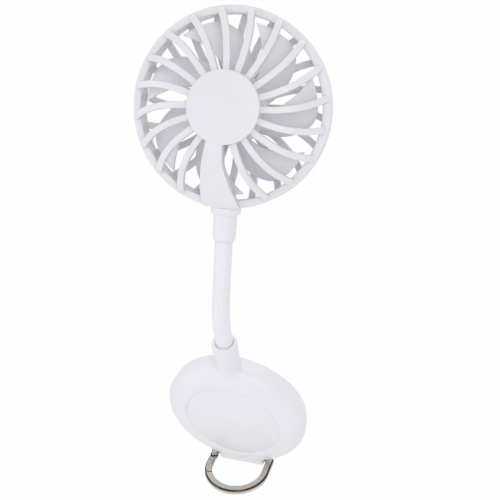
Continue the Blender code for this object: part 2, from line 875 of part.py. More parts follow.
def build_board():
    """The circuit board: a slice of a circle on the port side."""
    half = math.acos(BOARD_EDGE / BOARD_RADIUS)
    outline = []
    for i in range(SMALL_STEPS + 1):
        turn = math.pi - half + 2 * half * i / SMALL_STEPS
        outline.append((BOARD_RADIUS * math.cos(turn),
                        BOARD_RADIUS * math.sin(turn)))
    board = plate("circuit_board", outline, BOARD_THICKNESS, PUCK_FRAME,
                  board_green())
    board.location = (0, 0, BOARD_DEPTH + BOARD_THICKNESS / 2)
    return board


def build_port():
    """The charging port: a round-ended metal mouth with a tongue inside."""
    port = port_shape("usb_port", 0, PORT_LENGTH, PUCK_FRAME, steel())
    hollow = port_shape("port_hollow", -PORT_WALL, PORT_LENGTH, PUCK_FRAME)
    hollow.location.x -= PORT_BACK_WALL
    long = PORT_LENGTH * PORT_TONGUE_SHARE
    middle = PORT_LENGTH - long / 2 - PORT_FACE
    tongue = box("port_tongue", (long, PORT_TONGUE_WIDTH, PORT_TONGUE),
                 (middle, 0, PORT_DEPTH), PUCK_FRAME)
    cut(port, [hollow])
    return smooth(joined(port, [tongue]))


def build_button():
    """The power button, which slides into the rim."""
    return smooth(button_block("power_button", 0, RIM_BUTTON, white_plastic()))


def build_button_switch():
    """The small switch behind the button."""
    inner = BUTTON_DEEP / 2 + BUTTON_TRAVEL + GAP + SWITCH_LEAN / 2
    size = (SWITCH_LEAN, SWITCH_SIZE, SWITCH_HEIGHT)
    lift = BOARD_DEPTH + BOARD_THICKNESS + GAP + SWITCH_HEIGHT / 2
    centre = (-inner, 0, lift - PUCK_WIDEST_DEPTH - GAP)
    body = box("button_switch", size, centre, RIM_BUTTON, dark_plastic())
    return smooth(bevelled(body, GAP))


def build_light():
    """The small light pipe in the rim between the port and the button."""
    outline = [(0, LIGHT_TUCK), (LIGHT_RADIUS / 2, LIGHT_TUCK),
               (LIGHT_RADIUS, LIGHT_TUCK - LIGHT_RADIUS / 2),
               (LIGHT_RADIUS, LIGHT_TUCK - LIGHT_LENGTH),
               (0, LIGHT_TUCK - LIGHT_LENGTH)]
    pipe = turned("status_light", outline, RIM_LIGHT, clear_light(),
                  SMALL_STEPS)
    pipe.rotation_euler = (0, QUARTER_TURN, 0)
    return smooth(pipe)


def build_anchor():
    """The crimp that holds the foot of the neck's core in the boss."""
    bottom = BOSS_TOP - BOSS_BORE_LENGTH + GAP
    inner = CORE_RADIUS + GAP
    shape = tube(inner, inner + ANCHOR_WALL, bottom, bottom + ANCHOR_LENGTH)
    crimp = turned("neck_anchor", shape, PUCK_FRAME, steel(),
                   2 * SMALL_STEPS)
    crimp.rotation_euler = (-QUARTER_TURN, 0, 0)
    crimp.location = (0, 0, BOSS_DEPTH)
    return smooth(crimp)


# The stand ring's frame sits on its hinge: X right, Y up, Z toward the viewer
RING_PIVOT = guide("ring_pivot", (HINGE_SHIFT, -RING_PIN_DROP, RING_PIN_DEPTH),
                   (-RING_LIFT, 0, 0), PUCK_FRAME)
RING_MID_RADIUS = (RING_INNER_RADIUS + RING_OUTER_RADIUS) / 2
GATE_PIN_REACH = RING_CENTRE_REACH - GATE_PIN_BACK
GATE_PIVOT = guide("gate_pivot", (-RING_MID_RADIUS, 0, GATE_PIN_REACH),
                   parent=RING_PIVOT)


def ring_blank(name, mat=None):
    """The whole D-shaped ring before its gate is cut away."""
    outline = [(RING_OUTER_RADIUS, 0)]
    for radius, back in ((RING_OUTER_RADIUS, False), (RING_INNER_RADIUS, True)):
        for i in range(RING_ARC_STEPS + 1):
            share = i / RING_ARC_STEPS
            turn = math.pi * (1 - share if back else share)
            outline.append((radius * math.cos(turn),
                            RING_CENTRE_REACH + radius * math.sin(turn)))
        end = RING_INNER_RADIUS if back else -RING_OUTER_RADIUS
        outline.append((end, 0))
        if not back:
            outline.append((-RING_INNER_RADIUS, 0))
    blank = plate(name, outline, RING_HEIGHT, RING_PIVOT, mat)
    blank.rotation_euler = (QUARTER_TURN, 0, 0)
    return bevelled(whole_faces(blank), RING_EDGE)


def level(name, radius, half, parent, spot, steps=2 * SMALL_STEPS):
    """A round guide along the ring frame's upward direction."""
    obj = turned(name, disc(radius, -half, half), parent, steps=steps)
    obj.rotation_euler = (QUARTER_TURN, 0, 0)
    obj.location = spot
    return obj


def gate_zone(name, start, end):
    """A box over the ring's gate side, between two reaches."""
    wide = 2 * RING_OUTER_RADIUS
    size = (wide, 2 * RING_HEIGHT, end - start)
    centre = (-wide / 2 - RING_INNER_RADIUS / 3, 0, (start + end) / 2)
    return box(name, size, centre, RING_PIVOT)


def build_ring():
    """The ring's fixed body: hinge bar, two eyes and a fork for the gate."""
    ring = ring_blank("stand_ring", nickel())
    eye = RING_HEIGHT / 2 - RING_EYE_EASE
    half = (RING_OUTER_RADIUS - RING_INNER_RADIUS) / 2 - RING_EYE_EASE
    eyes = []
    for side in (1, -1):
        knuckle = sideways("eye", eye, half, RING_PIVOT, 0, 0,
                           2 * SMALL_STEPS)
        knuckle.location.x = side * RING_MID_RADIUS
        eyes.append(knuckle)
    nose = RING_CENTRE_REACH + GATE_NOSE_REACH
    cut(ring, [gate_zone("gate_gap", GATE_PIN_REACH, nose + GAP / 2)])
    cheek = level("cheek", eye, eye - RING_EDGE / 2, GATE_PIVOT, (0, 0, 0))
    bar = sideways("bar", RING_BAR_RADIUS, RING_MID_RADIUS, RING_PIVOT, 0, 0)
    joined(ring, eyes + [cheek, bar])
    start = GATE_PIN_REACH - GATE_SLOT_BACK
    slot = gate_zone("fork_slot", start, GATE_PIN_REACH + GATE_SLOT_AHEAD)
    slot.scale = (1, (GATE_TONGUE + 2 * GAP) / (2 * RING_HEIGHT), 1)
    hole = level("gate_bore", GATE_PIN_RADIUS + GATE_PIN_EASE, RING_HEIGHT,
                 GATE_PIVOT, (0, 0, 0), SMALL_STEPS)
    return smooth(cut(ring, [slot, hole]))


def build_gate():
    """The curved gate, whose tongue turns in the ring's fork."""
    gate = ring_blank("ring_gate", nickel())
    nose = RING_CENTRE_REACH + GATE_NOSE_REACH
    zone = gate_zone("gate_keep", GATE_PIN_REACH, nose - GAP)
    boolean(gate, zone, "INTERSECT")
    bake(gate)
    clear = RING_HEIGHT / 2 + GAP
    shoulder = level("shoulder", clear, RING_HEIGHT, GATE_PIVOT, (0, 0, 0))
    cut(gate, [shoulder])
    tongue = level("tongue", GATE_TONGUE_RADIUS, GATE_TONGUE / 2, GATE_PIVOT,
                   (0, 0, 0))
    size = (GATE_TONGUE_RADIUS, GATE_TONGUE, GATE_TAIL)
    tail = box("tail", size, (0, 0, GATE_TAIL / 2), GATE_PIVOT)
    joined(gate, [tongue, tail])
    hole = level("gate_hole", GATE_PIN_RADIUS + GATE_PIN_EASE, RING_HEIGHT,
                 GATE_PIVOT, (0, 0, 0), SMALL_STEPS)
    return smooth(cut(gate, [hole]))


def build_gate_pin():
    """The pin on which the gate swings."""
    half = RING_HEIGHT / 2
    pin = turned("gate_pin", disc(GATE_PIN_RADIUS, -half, half), GATE_PIVOT,
                 steel(), SMALL_STEPS)
    pin.rotation_euler = (QUARTER_TURN, 0, 0)
    return smooth(pin)


def neck_tangent(share):
    """Direction of the neck at a share of its length."""
    ease = min(1, share / NECK_BEND_SHARE)
    ease = ease * ease * (3 - 2 * ease)
    lean = NECK_LEAN * ease + NECK_BULGE * math.sin(math.pi * share) ** 2
    side = NECK_TURN * share - NECK_SWAY * math.sin(math.pi * share)
    flat = math.cos(side)
    return Vector((math.sin(side), flat * math.sin(lean), flat * math.cos(lean)))


def neck_path():
    """Points of the neck from the boss's mouth to the ferrule."""
    spot = Vector((0, -BOSS_DEPTH, BOSS_TOP))
    points = [spot.copy()]
    for i in range(NECK_STEPS):
        share = (i + 0.5) / NECK_STEPS
        spot = spot + neck_tangent(share) * (NECK_LENGTH / NECK_STEPS)
        points.append(spot.copy())
    return points


PATH = neck_path()


def neck_point(length):
    """Point at a length along the neck, straight on past both ends."""
    if length <= 0:
        return PATH[0] + neck_tangent(0) * length
    if length >= NECK_LENGTH:
        return PATH[-1] + neck_tangent(1) * (length - NECK_LENGTH)
    spot = length / NECK_LENGTH * NECK_STEPS
    low = min(int(spot), NECK_STEPS - 1)
    return PATH[low].lerp(PATH[low + 1], spot - low)


def neck_joint(number):
    """Length along the neck at which a joint lies, counted from one."""
    return NECK_LENGTH * (number - 0.5) / NECK_JOINTS


WORLD = guide("world_frame", (0, 0, 0))


def neck_run(start, end, step_count):
    """Evenly spaced points along a stretch of the neck."""
    return [neck_point(start + (end - start) * i / step_count)
            for i in range(step_count + 1)]


def build_sleeve(number):
    """One stretch of the smooth outer sleeve."""
    first = -NECK_INSERT if number == 0 else neck_joint(number) + GAP / 2
    last = neck_joint(number + 1) - GAP / 2
    if number == NECK_JOINTS:
        last = NECK_LENGTH + FERRULE_INSERT
    points = [neck_point(first)] + neck_run(first + GAP, last - GAP, 2)
    points.append(neck_point(last))
    outer = rod("neck_sleeve_%d" % number, points,
                [NECK_RADIUS] * len(points), WORLD, pale_rubber(), 4)
    long = neck_run(first - OVERRUN, first, 1)[:1]
    long += points + [neck_point(last + OVERRUN)]
    inner = rod("bore_%d" % number, long, [SLEEVE_BORE] * len(long), WORLD,
                None, 2)
    return smooth(cut(outer, [inner]))


def ball_end(centre, toward):
    """Points and radii that round off a rod's end."""
    out = []
    for turn in (90, 60, 30, 4):
        angle = math.radians(turn)
        out.append((centre + toward * (CORE_RADIUS * math.sin(angle)),
                    CORE_RADIUS * math.cos(angle)))
    return out


def build_core(number):
    """One jointed stretch of the core, with ball-shaped ends."""
    inset = CORE_RADIUS + GAP / 2
    stations = []
    if number == 0:
        first = -CORE_INSERT
        stations.append((neck_point(first), CORE_RADIUS))
    else:
        first = neck_joint(number) + inset
        back = (neck_point(neck_joint(number)) - neck_point(first)).normalized()
        for spot, radius in ball_end(neck_point(first), back)[:3]:
            stations.append((spot, radius))
    if number == NECK_JOINTS:
        last = NECK_LENGTH + CORE_IN_FERRULE
        tail = [(neck_point(last), CORE_RADIUS)]
    else:
        joint = neck_joint(number + 1)
        last = joint - inset
        ahead = (neck_point(joint) - neck_point(last)).normalized()
        tail = list(reversed(ball_end(neck_point(last), ahead)[:3]))
    span = neck_run(first, last, 2)
    if number:
        stations += [(p, CORE_RADIUS) for p in span[:1]]
    stations += [(p, CORE_RADIUS) for p in span[1:2]]
    if number < NECK_JOINTS:
        stations.append((span[2], CORE_RADIUS))
    stations += tail
    stations = [(p, max(r, GAP)) for p, r in stations]
    points = [p for p, _ in stations]
    radii = [r for _, r in stations]
    return smooth(rod("neck_core_%d" % number, points, radii, WORLD, steel(),
                      2))


# Head frame: X right, Y forward where the air goes, Z away from the neck
HEAD_TURN = (Matrix.Rotation(-NECK_LEAN, 4, "X")
             @ Matrix.Rotation(NECK_TURN, 4, "Y")
             @ Matrix.Rotation(HEAD_TWIST, 4, "Z"))
HEAD_CENTRE = neck_point(NECK_LENGTH + FERRULE_LENGTH + DRUM_RADIUS)
HEAD_FRAME = guide("head_frame", HEAD_CENTRE, HEAD_TURN.to_euler())
# Axle frame: X right, Y away from the neck, Z back toward the viewer
AXLE = guide("axle", (0, 0, 0), (QUARTER_TURN, 0, 0), HEAD_FRAME)


def bearing(angle, radius, height):
    """Place at a clock angle from the top, seen from the viewer's side."""
    return Vector((radius * math.sin(angle), radius * math.cos(angle), height))


def build_ferrule():
    """The stepped collar that joins the neck to the head."""
    foot = FERRULE_LENGTH - FLANGE_HEIGHT
    outline = [(FLANGE_RADIUS, DRUM_WALL),
               (FLANGE_RADIUS, FLANGE_CHAMFER - FLANGE_HEIGHT),
               (FLANGE_RADIUS - FLANGE_CHAMFER, -FLANGE_HEIGHT),
               (FERRULE_RADIUS, -FLANGE_HEIGHT),
               (FERRULE_RADIUS, -FERRULE_LENGTH + FERRULE_CHAMFER),
               (NECK_RADIUS + GAP, -FERRULE_LENGTH),
               (NECK_RADIUS + GAP, FERRULE_INSERT + GAP - FERRULE_LENGTH),
               (CORE_RADIUS + GAP, FERRULE_INSERT + GAP - FERRULE_LENGTH),
               (CORE_RADIUS + GAP, CORE_IN_FERRULE + GAP - FERRULE_LENGTH),
               (CLAMP_RADIUS + GAP, CORE_IN_FERRULE + GAP - FERRULE_LENGTH),
               (CLAMP_RADIUS + GAP, DRUM_WALL)]
    collar = turned("neck_ferrule", outline, HEAD_FRAME, white_plastic(),
                    2 * SMALL_STEPS)
    collar.location = (0, 0, -DRUM_RADIUS)
    drum = turned("drum_space", disc(DRUM_RADIUS + GAP, -foot, foot), AXLE)
    return smooth(cut(collar, [drum]))


def build_clamp_screw():
    """The screw through the drum that holds the ferrule."""
    top = CLAMP_HEAD_HEIGHT
    outline = [(0, top), (CLAMP_HEAD_RADIUS, top), (CLAMP_HEAD_RADIUS, 0),
               (CLAMP_RADIUS, 0), (CLAMP_RADIUS, top - CLAMP_LENGTH),
               (0, top - CLAMP_LENGTH)]
    screw = turned("clamp_screw", outline, HEAD_FRAME, steel(), SMALL_STEPS)
    screw.location = (0, 0, -RIM_RADIUS - CLAMP_HEAD_HEIGHT)
    return smooth(screw)


def spoke_path(number, start, sweep, hub_radius, hub_height):
    """Points of a spoke from inside the hub wall to the rim's outer edge."""
    inner = hub_radius - HUB_WALL / 2
    outer = DRUM_RADIUS - SPOKE_TIP_TUCK
    points = []
    for i in range(SPOKE_STEPS + 1):
        share = i / SPOKE_STEPS
        turn = start + math.tau * number / SPOKE_COUNT
        turn += sweep * share ** SPOKE_SWEEP_POWER
        height = hub_height + (CAGE_RIM - hub_height) * share ** SPOKE_DOME_POWER
        points.append((turn, inner + (outer - inner) * share, height))
    return points


def spoke_bar(name, path, rear):
    """Skin a spoke as a bar of even width, its flat sides facing the air."""
    side = 1 if rear else -1
    sections = []
    for i, (turn, radius, height) in enumerate(path):
        low = path[max(0, i - 1)]
        high = path[min(len(path) - 1, i + 1)]
        along = bearing(high[0], high[1], 0) - bearing(low[0], low[1], 0)
        across = Vector((along.y, -along.x, 0)).normalized() * SPOKE_WIDTH / 2
        top = bearing(turn, radius, height)
        deep = Vector((0, 0, SPOKE_DEEP))
        ring = [top - across, top + across, top + across - deep,
                top - across - deep]
        sections.append([(p.x, p.y, p.z * side) for p in ring])
    return loft(name, sections, AXLE)


def strut_edges(share):
    """Left and right edges of the strut at a share of its way to the rim."""
    spot = share * (len(STRUT_LEFT_SHARES) - 1)
    low = min(int(spot), len(STRUT_LEFT_SHARES) - 2)
    edges = []
    for shares in (STRUT_LEFT_SHARES, STRUT_RIGHT_SHARES):
        step = shares[low + 1] - shares[low]
        edges.append(HUB_RADIUS * (shares[low] + step * (spot - low)))
    return edges


def strut_top(share):
    """Height of the strut's outer face above the head's middle plane."""
    return HUB_FACE - STRUT_TOP_DROP * share ** STRUT_DOME_POWER


HUB_FACE = DRUM_DEPTH / 2 + HUB_RISE
CAGE_RIM = DRUM_DEPTH / 2 + SPOKE_PROUD
STRUT_INNER = HUB_RADIUS - STRUT_ROOT
STRUT_OUTER = DRUM_RADIUS


def strut_bar(name, top_drop, grow_share, deeps, end_share=1):
    """A slab along the strut's route, with its depth at hub and rim."""
    sections = []
    for i in range(STRUT_STEPS + 1):
        share = end_share * i / STRUT_STEPS
        left, right = strut_edges(share)
        middle = (left + right) / 2
        half = (right - left) / 2 * grow_share
        down = STRUT_INNER + (STRUT_OUTER - STRUT_INNER) * share
        top = strut_top(share) - top_drop
        deep = deeps[0] + (deeps[1] - deeps[0]) * share
        sections.append([(middle - half, -down, top),
                         (middle + half, -down, top),
                         (middle + half, -down, top - deep),
                         (middle - half, -down, top - deep)])
    bar = loft(name, sections, AXLE)
    bound = turned(name + "_bound", disc(DRUM_RADIUS - SPOKE_TIP_TUCK, 0,
                                         HUB_FACE + OVERRUN), AXLE)
    boolean(bar, bound, "INTERSECT")
    return bake(bar)


def build_rear_grille():
    """The rear cage: half drum, swept spokes, hub wall and wire channel."""
    seam = RIM_SEAM / 2
    shape = [(DRUM_RADIUS, DRUM_DEPTH / 2 - GAP),
             (DRUM_RADIUS, seam), (DRUM_RADIUS - DRUM_WALL, seam),
             (RIM_RADIUS, DRUM_DEPTH / 2), (DRUM_RADIUS - GAP, DRUM_DEPTH / 2)]
    cage = turned("rear_grille", shape, AXLE, white_plastic(), 3 * ROUND_STEPS // 2)
    floor = HUB_FACE - COVER_THICKNESS - GAP
    socket = MOTOR_RADIUS + GAP
    base = floor - HUB_WALL
    shape = [(0, floor), (HUB_RADIUS, floor), (HUB_RADIUS, HUB_FACE - HUB_DEEP),
             (HUB_RADIUS - HUB_WALL, HUB_FACE - HUB_DEEP),
             (HUB_RADIUS - HUB_WALL, base), (socket + SOCKET_WALL, base),
             (socket + SOCKET_WALL, base - SOCKET_HEIGHT),
             (socket, base - SOCKET_HEIGHT), (socket, base), (0, base)]
    hub = turned("rear_hub", shape, AXLE)
    spokes = []
    for number in range(SPOKE_COUNT):
        if number not in STRUT_SPOKES:
            path = spoke_path(number, SPOKE_START, SPOKE_SWEEP, HUB_RADIUS,
                              HUB_FACE - SPOKE_DROP)
            spokes.append(spoke_bar("spoke_%d" % number, path, True))
    bars = merged("rear_spokes", spokes, AXLE)
    strut = strut_bar("strut_core", COVER_THICKNESS + GAP, 1,
                      (STRUT_DEEP, STRUT_TIP_DEEP))
    joined(cage, [hub, bars, strut])
    hollow = COVER_THICKNESS + 2 * LEAD_RADIUS + 4 * GAP
    lead_space = strut_bar("channel", 0, CHANNEL_SHARE, (hollow, hollow),
                           CHANNEL_END_SHARE)
    cut(cage, [lead_space] + clamp_holes() + peg_holes())
    return smooth(cage)


def clamp_holes():
    """The stepped way of the clamp screw through the bottom of the drum."""
    seat = -RIM_RADIUS - CLAMP_HEAD_HEIGHT - GAP
    end = CLAMP_CUT_LENGTH - RIM_RADIUS
    holes = []
    for radius, low in ((CLAMP_RADIUS, -DRUM_RADIUS - OVERRUN),
                        (CLAMP_HEAD_RADIUS, seat)):
        holes.append(turned("clamp_way", disc(radius + GAP, low, end),
                            HEAD_FRAME, steps=SMALL_STEPS))
    return holes


def peg_places():
    """Clock angles of the pegs that hold the two grilles together."""
    return [math.tau * i / PEG_COUNT for i in range(PEG_COUNT)]


def peg_holes():
    """Holes for the pegs between the two grilles."""
    holes = []
    for i, angle in enumerate(peg_places()):
        half = PEG_LENGTH / 2 + GAP
        hole = turned("peg_way_%d" % i, disc(PEG_RADIUS + GAP, -half, half),
                      AXLE, steps=SMALL_STEPS)
        middle = DRUM_RADIUS - DRUM_WALL / 2
        hole.location = bearing(angle, middle, 0)
        holes.append(hole)
    return holes


def build_pegs():
    """Pegs that line up and hold the two grilles."""
    plastic = white_plastic()
    half = PEG_LENGTH / 2
    for i, angle in enumerate(peg_places()):
        peg = turned("rim_peg_%d" % i, disc(PEG_RADIUS, -half, half), AXLE,
                     plastic, SMALL_STEPS)
        peg.location = bearing(angle, DRUM_RADIUS - DRUM_WALL / 2, 0)
        smooth(peg)


def build_spine_cover():
    """The flat cover over the hub and the wire channel."""
    base = HUB_FACE - COVER_THICKNESS
    edge = HUB_EDGE
    shape = [(0, HUB_FACE), (HUB_RADIUS - edge, HUB_FACE),
             (HUB_RADIUS, HUB_FACE - edge), (HUB_RADIUS, base), (0, base)]
    cover = turned("spine_cover", shape, AXLE, white_plastic())
    slope = strut_bar("spine_core", 0, 1, (COVER_THICKNESS, COVER_THICKNESS))
    return smooth(joined(cover, [slope]))


def build_front_grille():
    """The front cage: the other half drum, its spokes and a small hub."""
    seam = RIM_SEAM / 2
    shape = [(DRUM_RADIUS, -seam), (DRUM_RADIUS, GAP - DRUM_DEPTH / 2),
             (DRUM_RADIUS - GAP, -DRUM_DEPTH / 2), (RIM_RADIUS, -DRUM_DEPTH / 2),
             (DRUM_RADIUS - DRUM_WALL, -seam)]
    cage = turned("front_grille", shape, AXLE, white_plastic(), 3 * ROUND_STEPS // 2)
    face = DRUM_DEPTH / 2 + FRONT_HUB_RISE
    recess = face - CAP_THICKNESS - GAP
    shape = [(0, HUB_WALL - recess), (FRONT_HUB_RADIUS, HUB_WALL - recess),
             (FRONT_HUB_RADIUS, GAP - face), (FRONT_HUB_RADIUS - GAP, -face),
             (CAP_RADIUS + GAP, -face), (CAP_RADIUS + GAP, -recess),
             (0, -recess)]
    hub = turned("front_hub", shape, AXLE)
    spokes = []
    for number in range(SPOKE_COUNT):
        path = spoke_path(number, FRONT_SPOKE_START, -SPOKE_SWEEP,
                          FRONT_HUB_RADIUS, face - FRONT_SPOKE_DROP)
        spokes.append(spoke_bar("front_spoke_%d" % number, path, False))
    bars = merged("front_spokes", spokes, AXLE)
    joined(cage, [hub, bars])
    cut(cage, clamp_holes() + peg_holes())
    return smooth(cage)


def build_cap():
    """The plain cap in the middle of the front cage."""
    face = DRUM_DEPTH / 2 + FRONT_HUB_RISE
    shape = [(0, CAP_THICKNESS - face), (CAP_RADIUS, CAP_THICKNESS - face),
             (CAP_RADIUS, GAP - face), (CAP_RADIUS - GAP, -face), (0, -face)]
    return smooth(turned("front_cap", shape, AXLE, white_plastic()))


def build_motor():
    """The motor can in its socket, with the shaft's bore."""
    top = HUB_FACE - COVER_THICKNESS - 2 * GAP - HUB_WALL
    bottom = top - MOTOR_LENGTH
    edge = GAP * 2
    bore = SHAFT_RADIUS + GAP
    shape = [(0, top), (MOTOR_RADIUS, top), (MOTOR_RADIUS, bottom + edge),
             (MOTOR_RADIUS - edge, bottom), (bore, bottom),
             (bore, bottom + SHAFT_LENGTH / 2), (0, bottom + SHAFT_LENGTH / 2)]
    return smooth(turned("motor_can", shape, AXLE, steel(), 2 * SMALL_STEPS))


def build_lead():
    """The insulated wire from the motor along the strut's channel."""
    points = []
    for i in range(STRUT_STEPS):
        share = (i + LEAD_START_SHARE) / STRUT_STEPS
        left, right = strut_edges(share)
        down = STRUT_INNER + (STRUT_OUTER - STRUT_INNER) * share
        top = strut_top(share) - COVER_THICKNESS - 2 * GAP - LEAD_RADIUS
        points.append(Vector(((left + right) / 2, -down, top)))
    return smooth(rod("motor_lead", points, [LEAD_RADIUS] * len(points), AXLE,
                      dark_plastic(), 2))


def blade_sheet(number):
    """One open blade surface, swept back from root to tip."""
    centre = BLADE_TIP_ANGLE + math.tau * number / BLADE_COUNT
    inner = IMPELLER_HUB_RADIUS - IMPELLER_HUB_WALL / 2
    points = []
    for i in range(BLADE_STEPS + 1):
        out = i / BLADE_STEPS
        radius = inner + (BLADE_TIP_RADIUS - inner) * out
        middle = centre + BLADE_SWEEP * (1 - out)
        half = BLADE_ROOT_HALF + (BLADE_TIP_HALF - BLADE_ROOT_HALF) * out
        rise = BLADE_ROOT_RISE + (BLADE_TIP_RISE - BLADE_ROOT_RISE) * out
        for j in range(BLADE_STEPS + 1):
            chord = 2 * j / BLADE_STEPS - 1
            trim = 1 - BLADE_TRIM_SHARE * out ** 4 * max(0, chord) ** 3
            bow = BLADE_THICKNESS * (1 - chord * chord)
            height = -rise * chord + bow
            points.append(bearing(middle + half * chord, radius * trim, height))
    faces = []
    row = BLADE_STEPS + 1
    for i in range(BLADE_STEPS):
        for j in range(BLADE_STEPS):
            a = i * row + j
            faces.append((a, a + 1, a + row + 1, a + row))
    sheet = add_object("blade_%d" % number,
                       mesh_from("blade", [tuple(p) for p in points], faces),
                       AXLE)
    mod = sheet.modifiers.new("thickness", "SOLIDIFY")
    mod.thickness = BLADE_THICKNESS
    mod.offset = 0
    bake(sheet)
    return face_out(sheet)


def build_impeller():
    """The seven-bladed rotor on its cup-shaped hub."""
    rim = IMPELLER_HUB_RADIUS
    wall = IMPELLER_HUB_WALL
    boss = IMPELLER_BOSS_RADIUS
    bore = SHAFT_RADIUS + GAP
    inside = wall - IMPELLER_FRONT
    shape = [(rim, IMPELLER_BACK), (rim, 2 * GAP - IMPELLER_FRONT),
             (rim - 2 * GAP, -IMPELLER_FRONT), (bore, -IMPELLER_FRONT),
             (bore, inside + IMPELLER_BOSS_LENGTH),
             (boss, inside + IMPELLER_BOSS_LENGTH), (boss, inside),
             (rim - wall, inside), (rim - wall, IMPELLER_BACK)]
    rotor = turned("impeller", shape, AXLE, white_plastic())
    blades = [blade_sheet(i) for i in range(BLADE_COUNT)]
    inner = turned("cup_space", disc(rim - wall, inside, IMPELLER_BACK
                                     + OVERRUN), AXLE)
    sheets = merged("blades", blades, AXLE)
    cut(sheets, [inner])
    return smooth(joined(rotor, [sheets]))


def build_shaft():
    """The steel shaft that turns with the rotor."""
    low = GAP - IMPELLER_FRONT
    shape = disc(SHAFT_RADIUS, low, low + SHAFT_LENGTH)
    return smooth(turned("motor_shaft", shape, AXLE, steel(), SMALL_STEPS))


def build_all():
    """Build every piece."""
    build_front_cover()
    build_back_plate()
    build_contact_pad()
    build_front_inlay()
    build_cover_screws()
    build_magnets()
    build_battery()
    build_board()
    build_port()
    build_button()
    build_button_switch()
    build_light()
    build_anchor()
    build_ring()
    build_gate()
    build_gate_pin()
    for number in range(NECK_JOINTS + 1):
        build_sleeve(number)
        build_core(number)
    build_ferrule()
    build_clamp_screw()
    build_rear_grille()
    build_spine_cover()
    build_front_grille()
    build_cap()
    build_pegs()
    build_motor()
    build_lead()
    build_impeller()
    build_shaft()


build_all()
for cutter in CUTTERS.objects:
    cutter.hide_render = True
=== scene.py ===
"""Portable fan: a caged head on a bendy neck over a magnetic puck with a snap ring."""

import math

import bpy
from mathutils import Matrix, Vector


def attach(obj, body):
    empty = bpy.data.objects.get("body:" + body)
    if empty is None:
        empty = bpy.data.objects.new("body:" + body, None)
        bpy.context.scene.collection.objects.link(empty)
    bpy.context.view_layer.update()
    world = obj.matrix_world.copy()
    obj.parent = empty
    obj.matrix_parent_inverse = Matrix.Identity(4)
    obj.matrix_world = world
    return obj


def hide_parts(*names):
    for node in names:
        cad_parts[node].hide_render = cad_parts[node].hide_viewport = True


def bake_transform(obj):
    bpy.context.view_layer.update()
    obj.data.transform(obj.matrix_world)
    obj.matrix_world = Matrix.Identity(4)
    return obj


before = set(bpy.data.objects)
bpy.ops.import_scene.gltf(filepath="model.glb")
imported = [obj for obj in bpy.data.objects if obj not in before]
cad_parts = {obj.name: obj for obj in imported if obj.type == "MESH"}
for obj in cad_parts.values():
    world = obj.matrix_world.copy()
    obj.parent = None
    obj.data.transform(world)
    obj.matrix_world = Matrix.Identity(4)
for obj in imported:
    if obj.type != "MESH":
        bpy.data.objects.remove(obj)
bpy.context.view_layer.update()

# The photograph's camera. It stands high and a little to the right of the fan.
# Its place, turn and lens were fitted to points measured in the photograph.
CAMERA_PLACE = Vector((0.116113, -0.256600, 0.344266))
CAMERA_RIGHT = Vector((0.95311, 0.28671, -0.09682))
CAMERA_UP = Vector((-0.12660, 0.66837, 0.73298))
CAMERA_FOCAL_PIXELS = 993.42
PHOTO_PIXELS = 500

camera_data = bpy.data.cameras.new("photo_camera")
camera_data.sensor_width = 36
camera_data.lens = CAMERA_FOCAL_PIXELS / PHOTO_PIXELS * camera_data.sensor_width
camera_data.clip_start = 0.01
camera_data.clip_end = 20
camera = bpy.data.objects.new("photo_camera", camera_data)
bpy.context.scene.collection.objects.link(camera)
camera_back = CAMERA_RIGHT.cross(CAMERA_UP)
camera.matrix_world = Matrix.Translation(CAMERA_PLACE) @ Matrix(
    (CAMERA_RIGHT, CAMERA_UP, camera_back)).transposed().to_4x4()
bpy.context.scene.camera = camera
bpy.context.scene.view_settings.view_transform = "Standard"


# Shader sums are written as plain arithmetic on the sockets of one material.
# A finish starts as a Principled shader whose steady values are set directly.
class Wire:
    """A shader socket that joins in arithmetic by adding Math nodes."""

    def __init__(self, finish, socket):
        self.finish = finish
        self.socket = socket

    def sum(self, operation, other, swapped=False):
        pair = (other, self) if swapped else (self, other)
        return self.finish.node("ShaderNodeMath", {"operation": operation},
                                {0: pair[0], 1: pair[1]})

    def __add__(self, other):
        return self.sum("ADD", other)

    def __radd__(self, other):
        return self.sum("ADD", other)

    def __sub__(self, other):
        return self.sum("SUBTRACT", other)

    def __rsub__(self, other):
        return self.sum("SUBTRACT", other, True)

    def __mul__(self, other):
        return self.sum("MULTIPLY", other)

    def __rmul__(self, other):
        return self.sum("MULTIPLY", other)

    def __pow__(self, other):
        return self.sum("POWER", other)


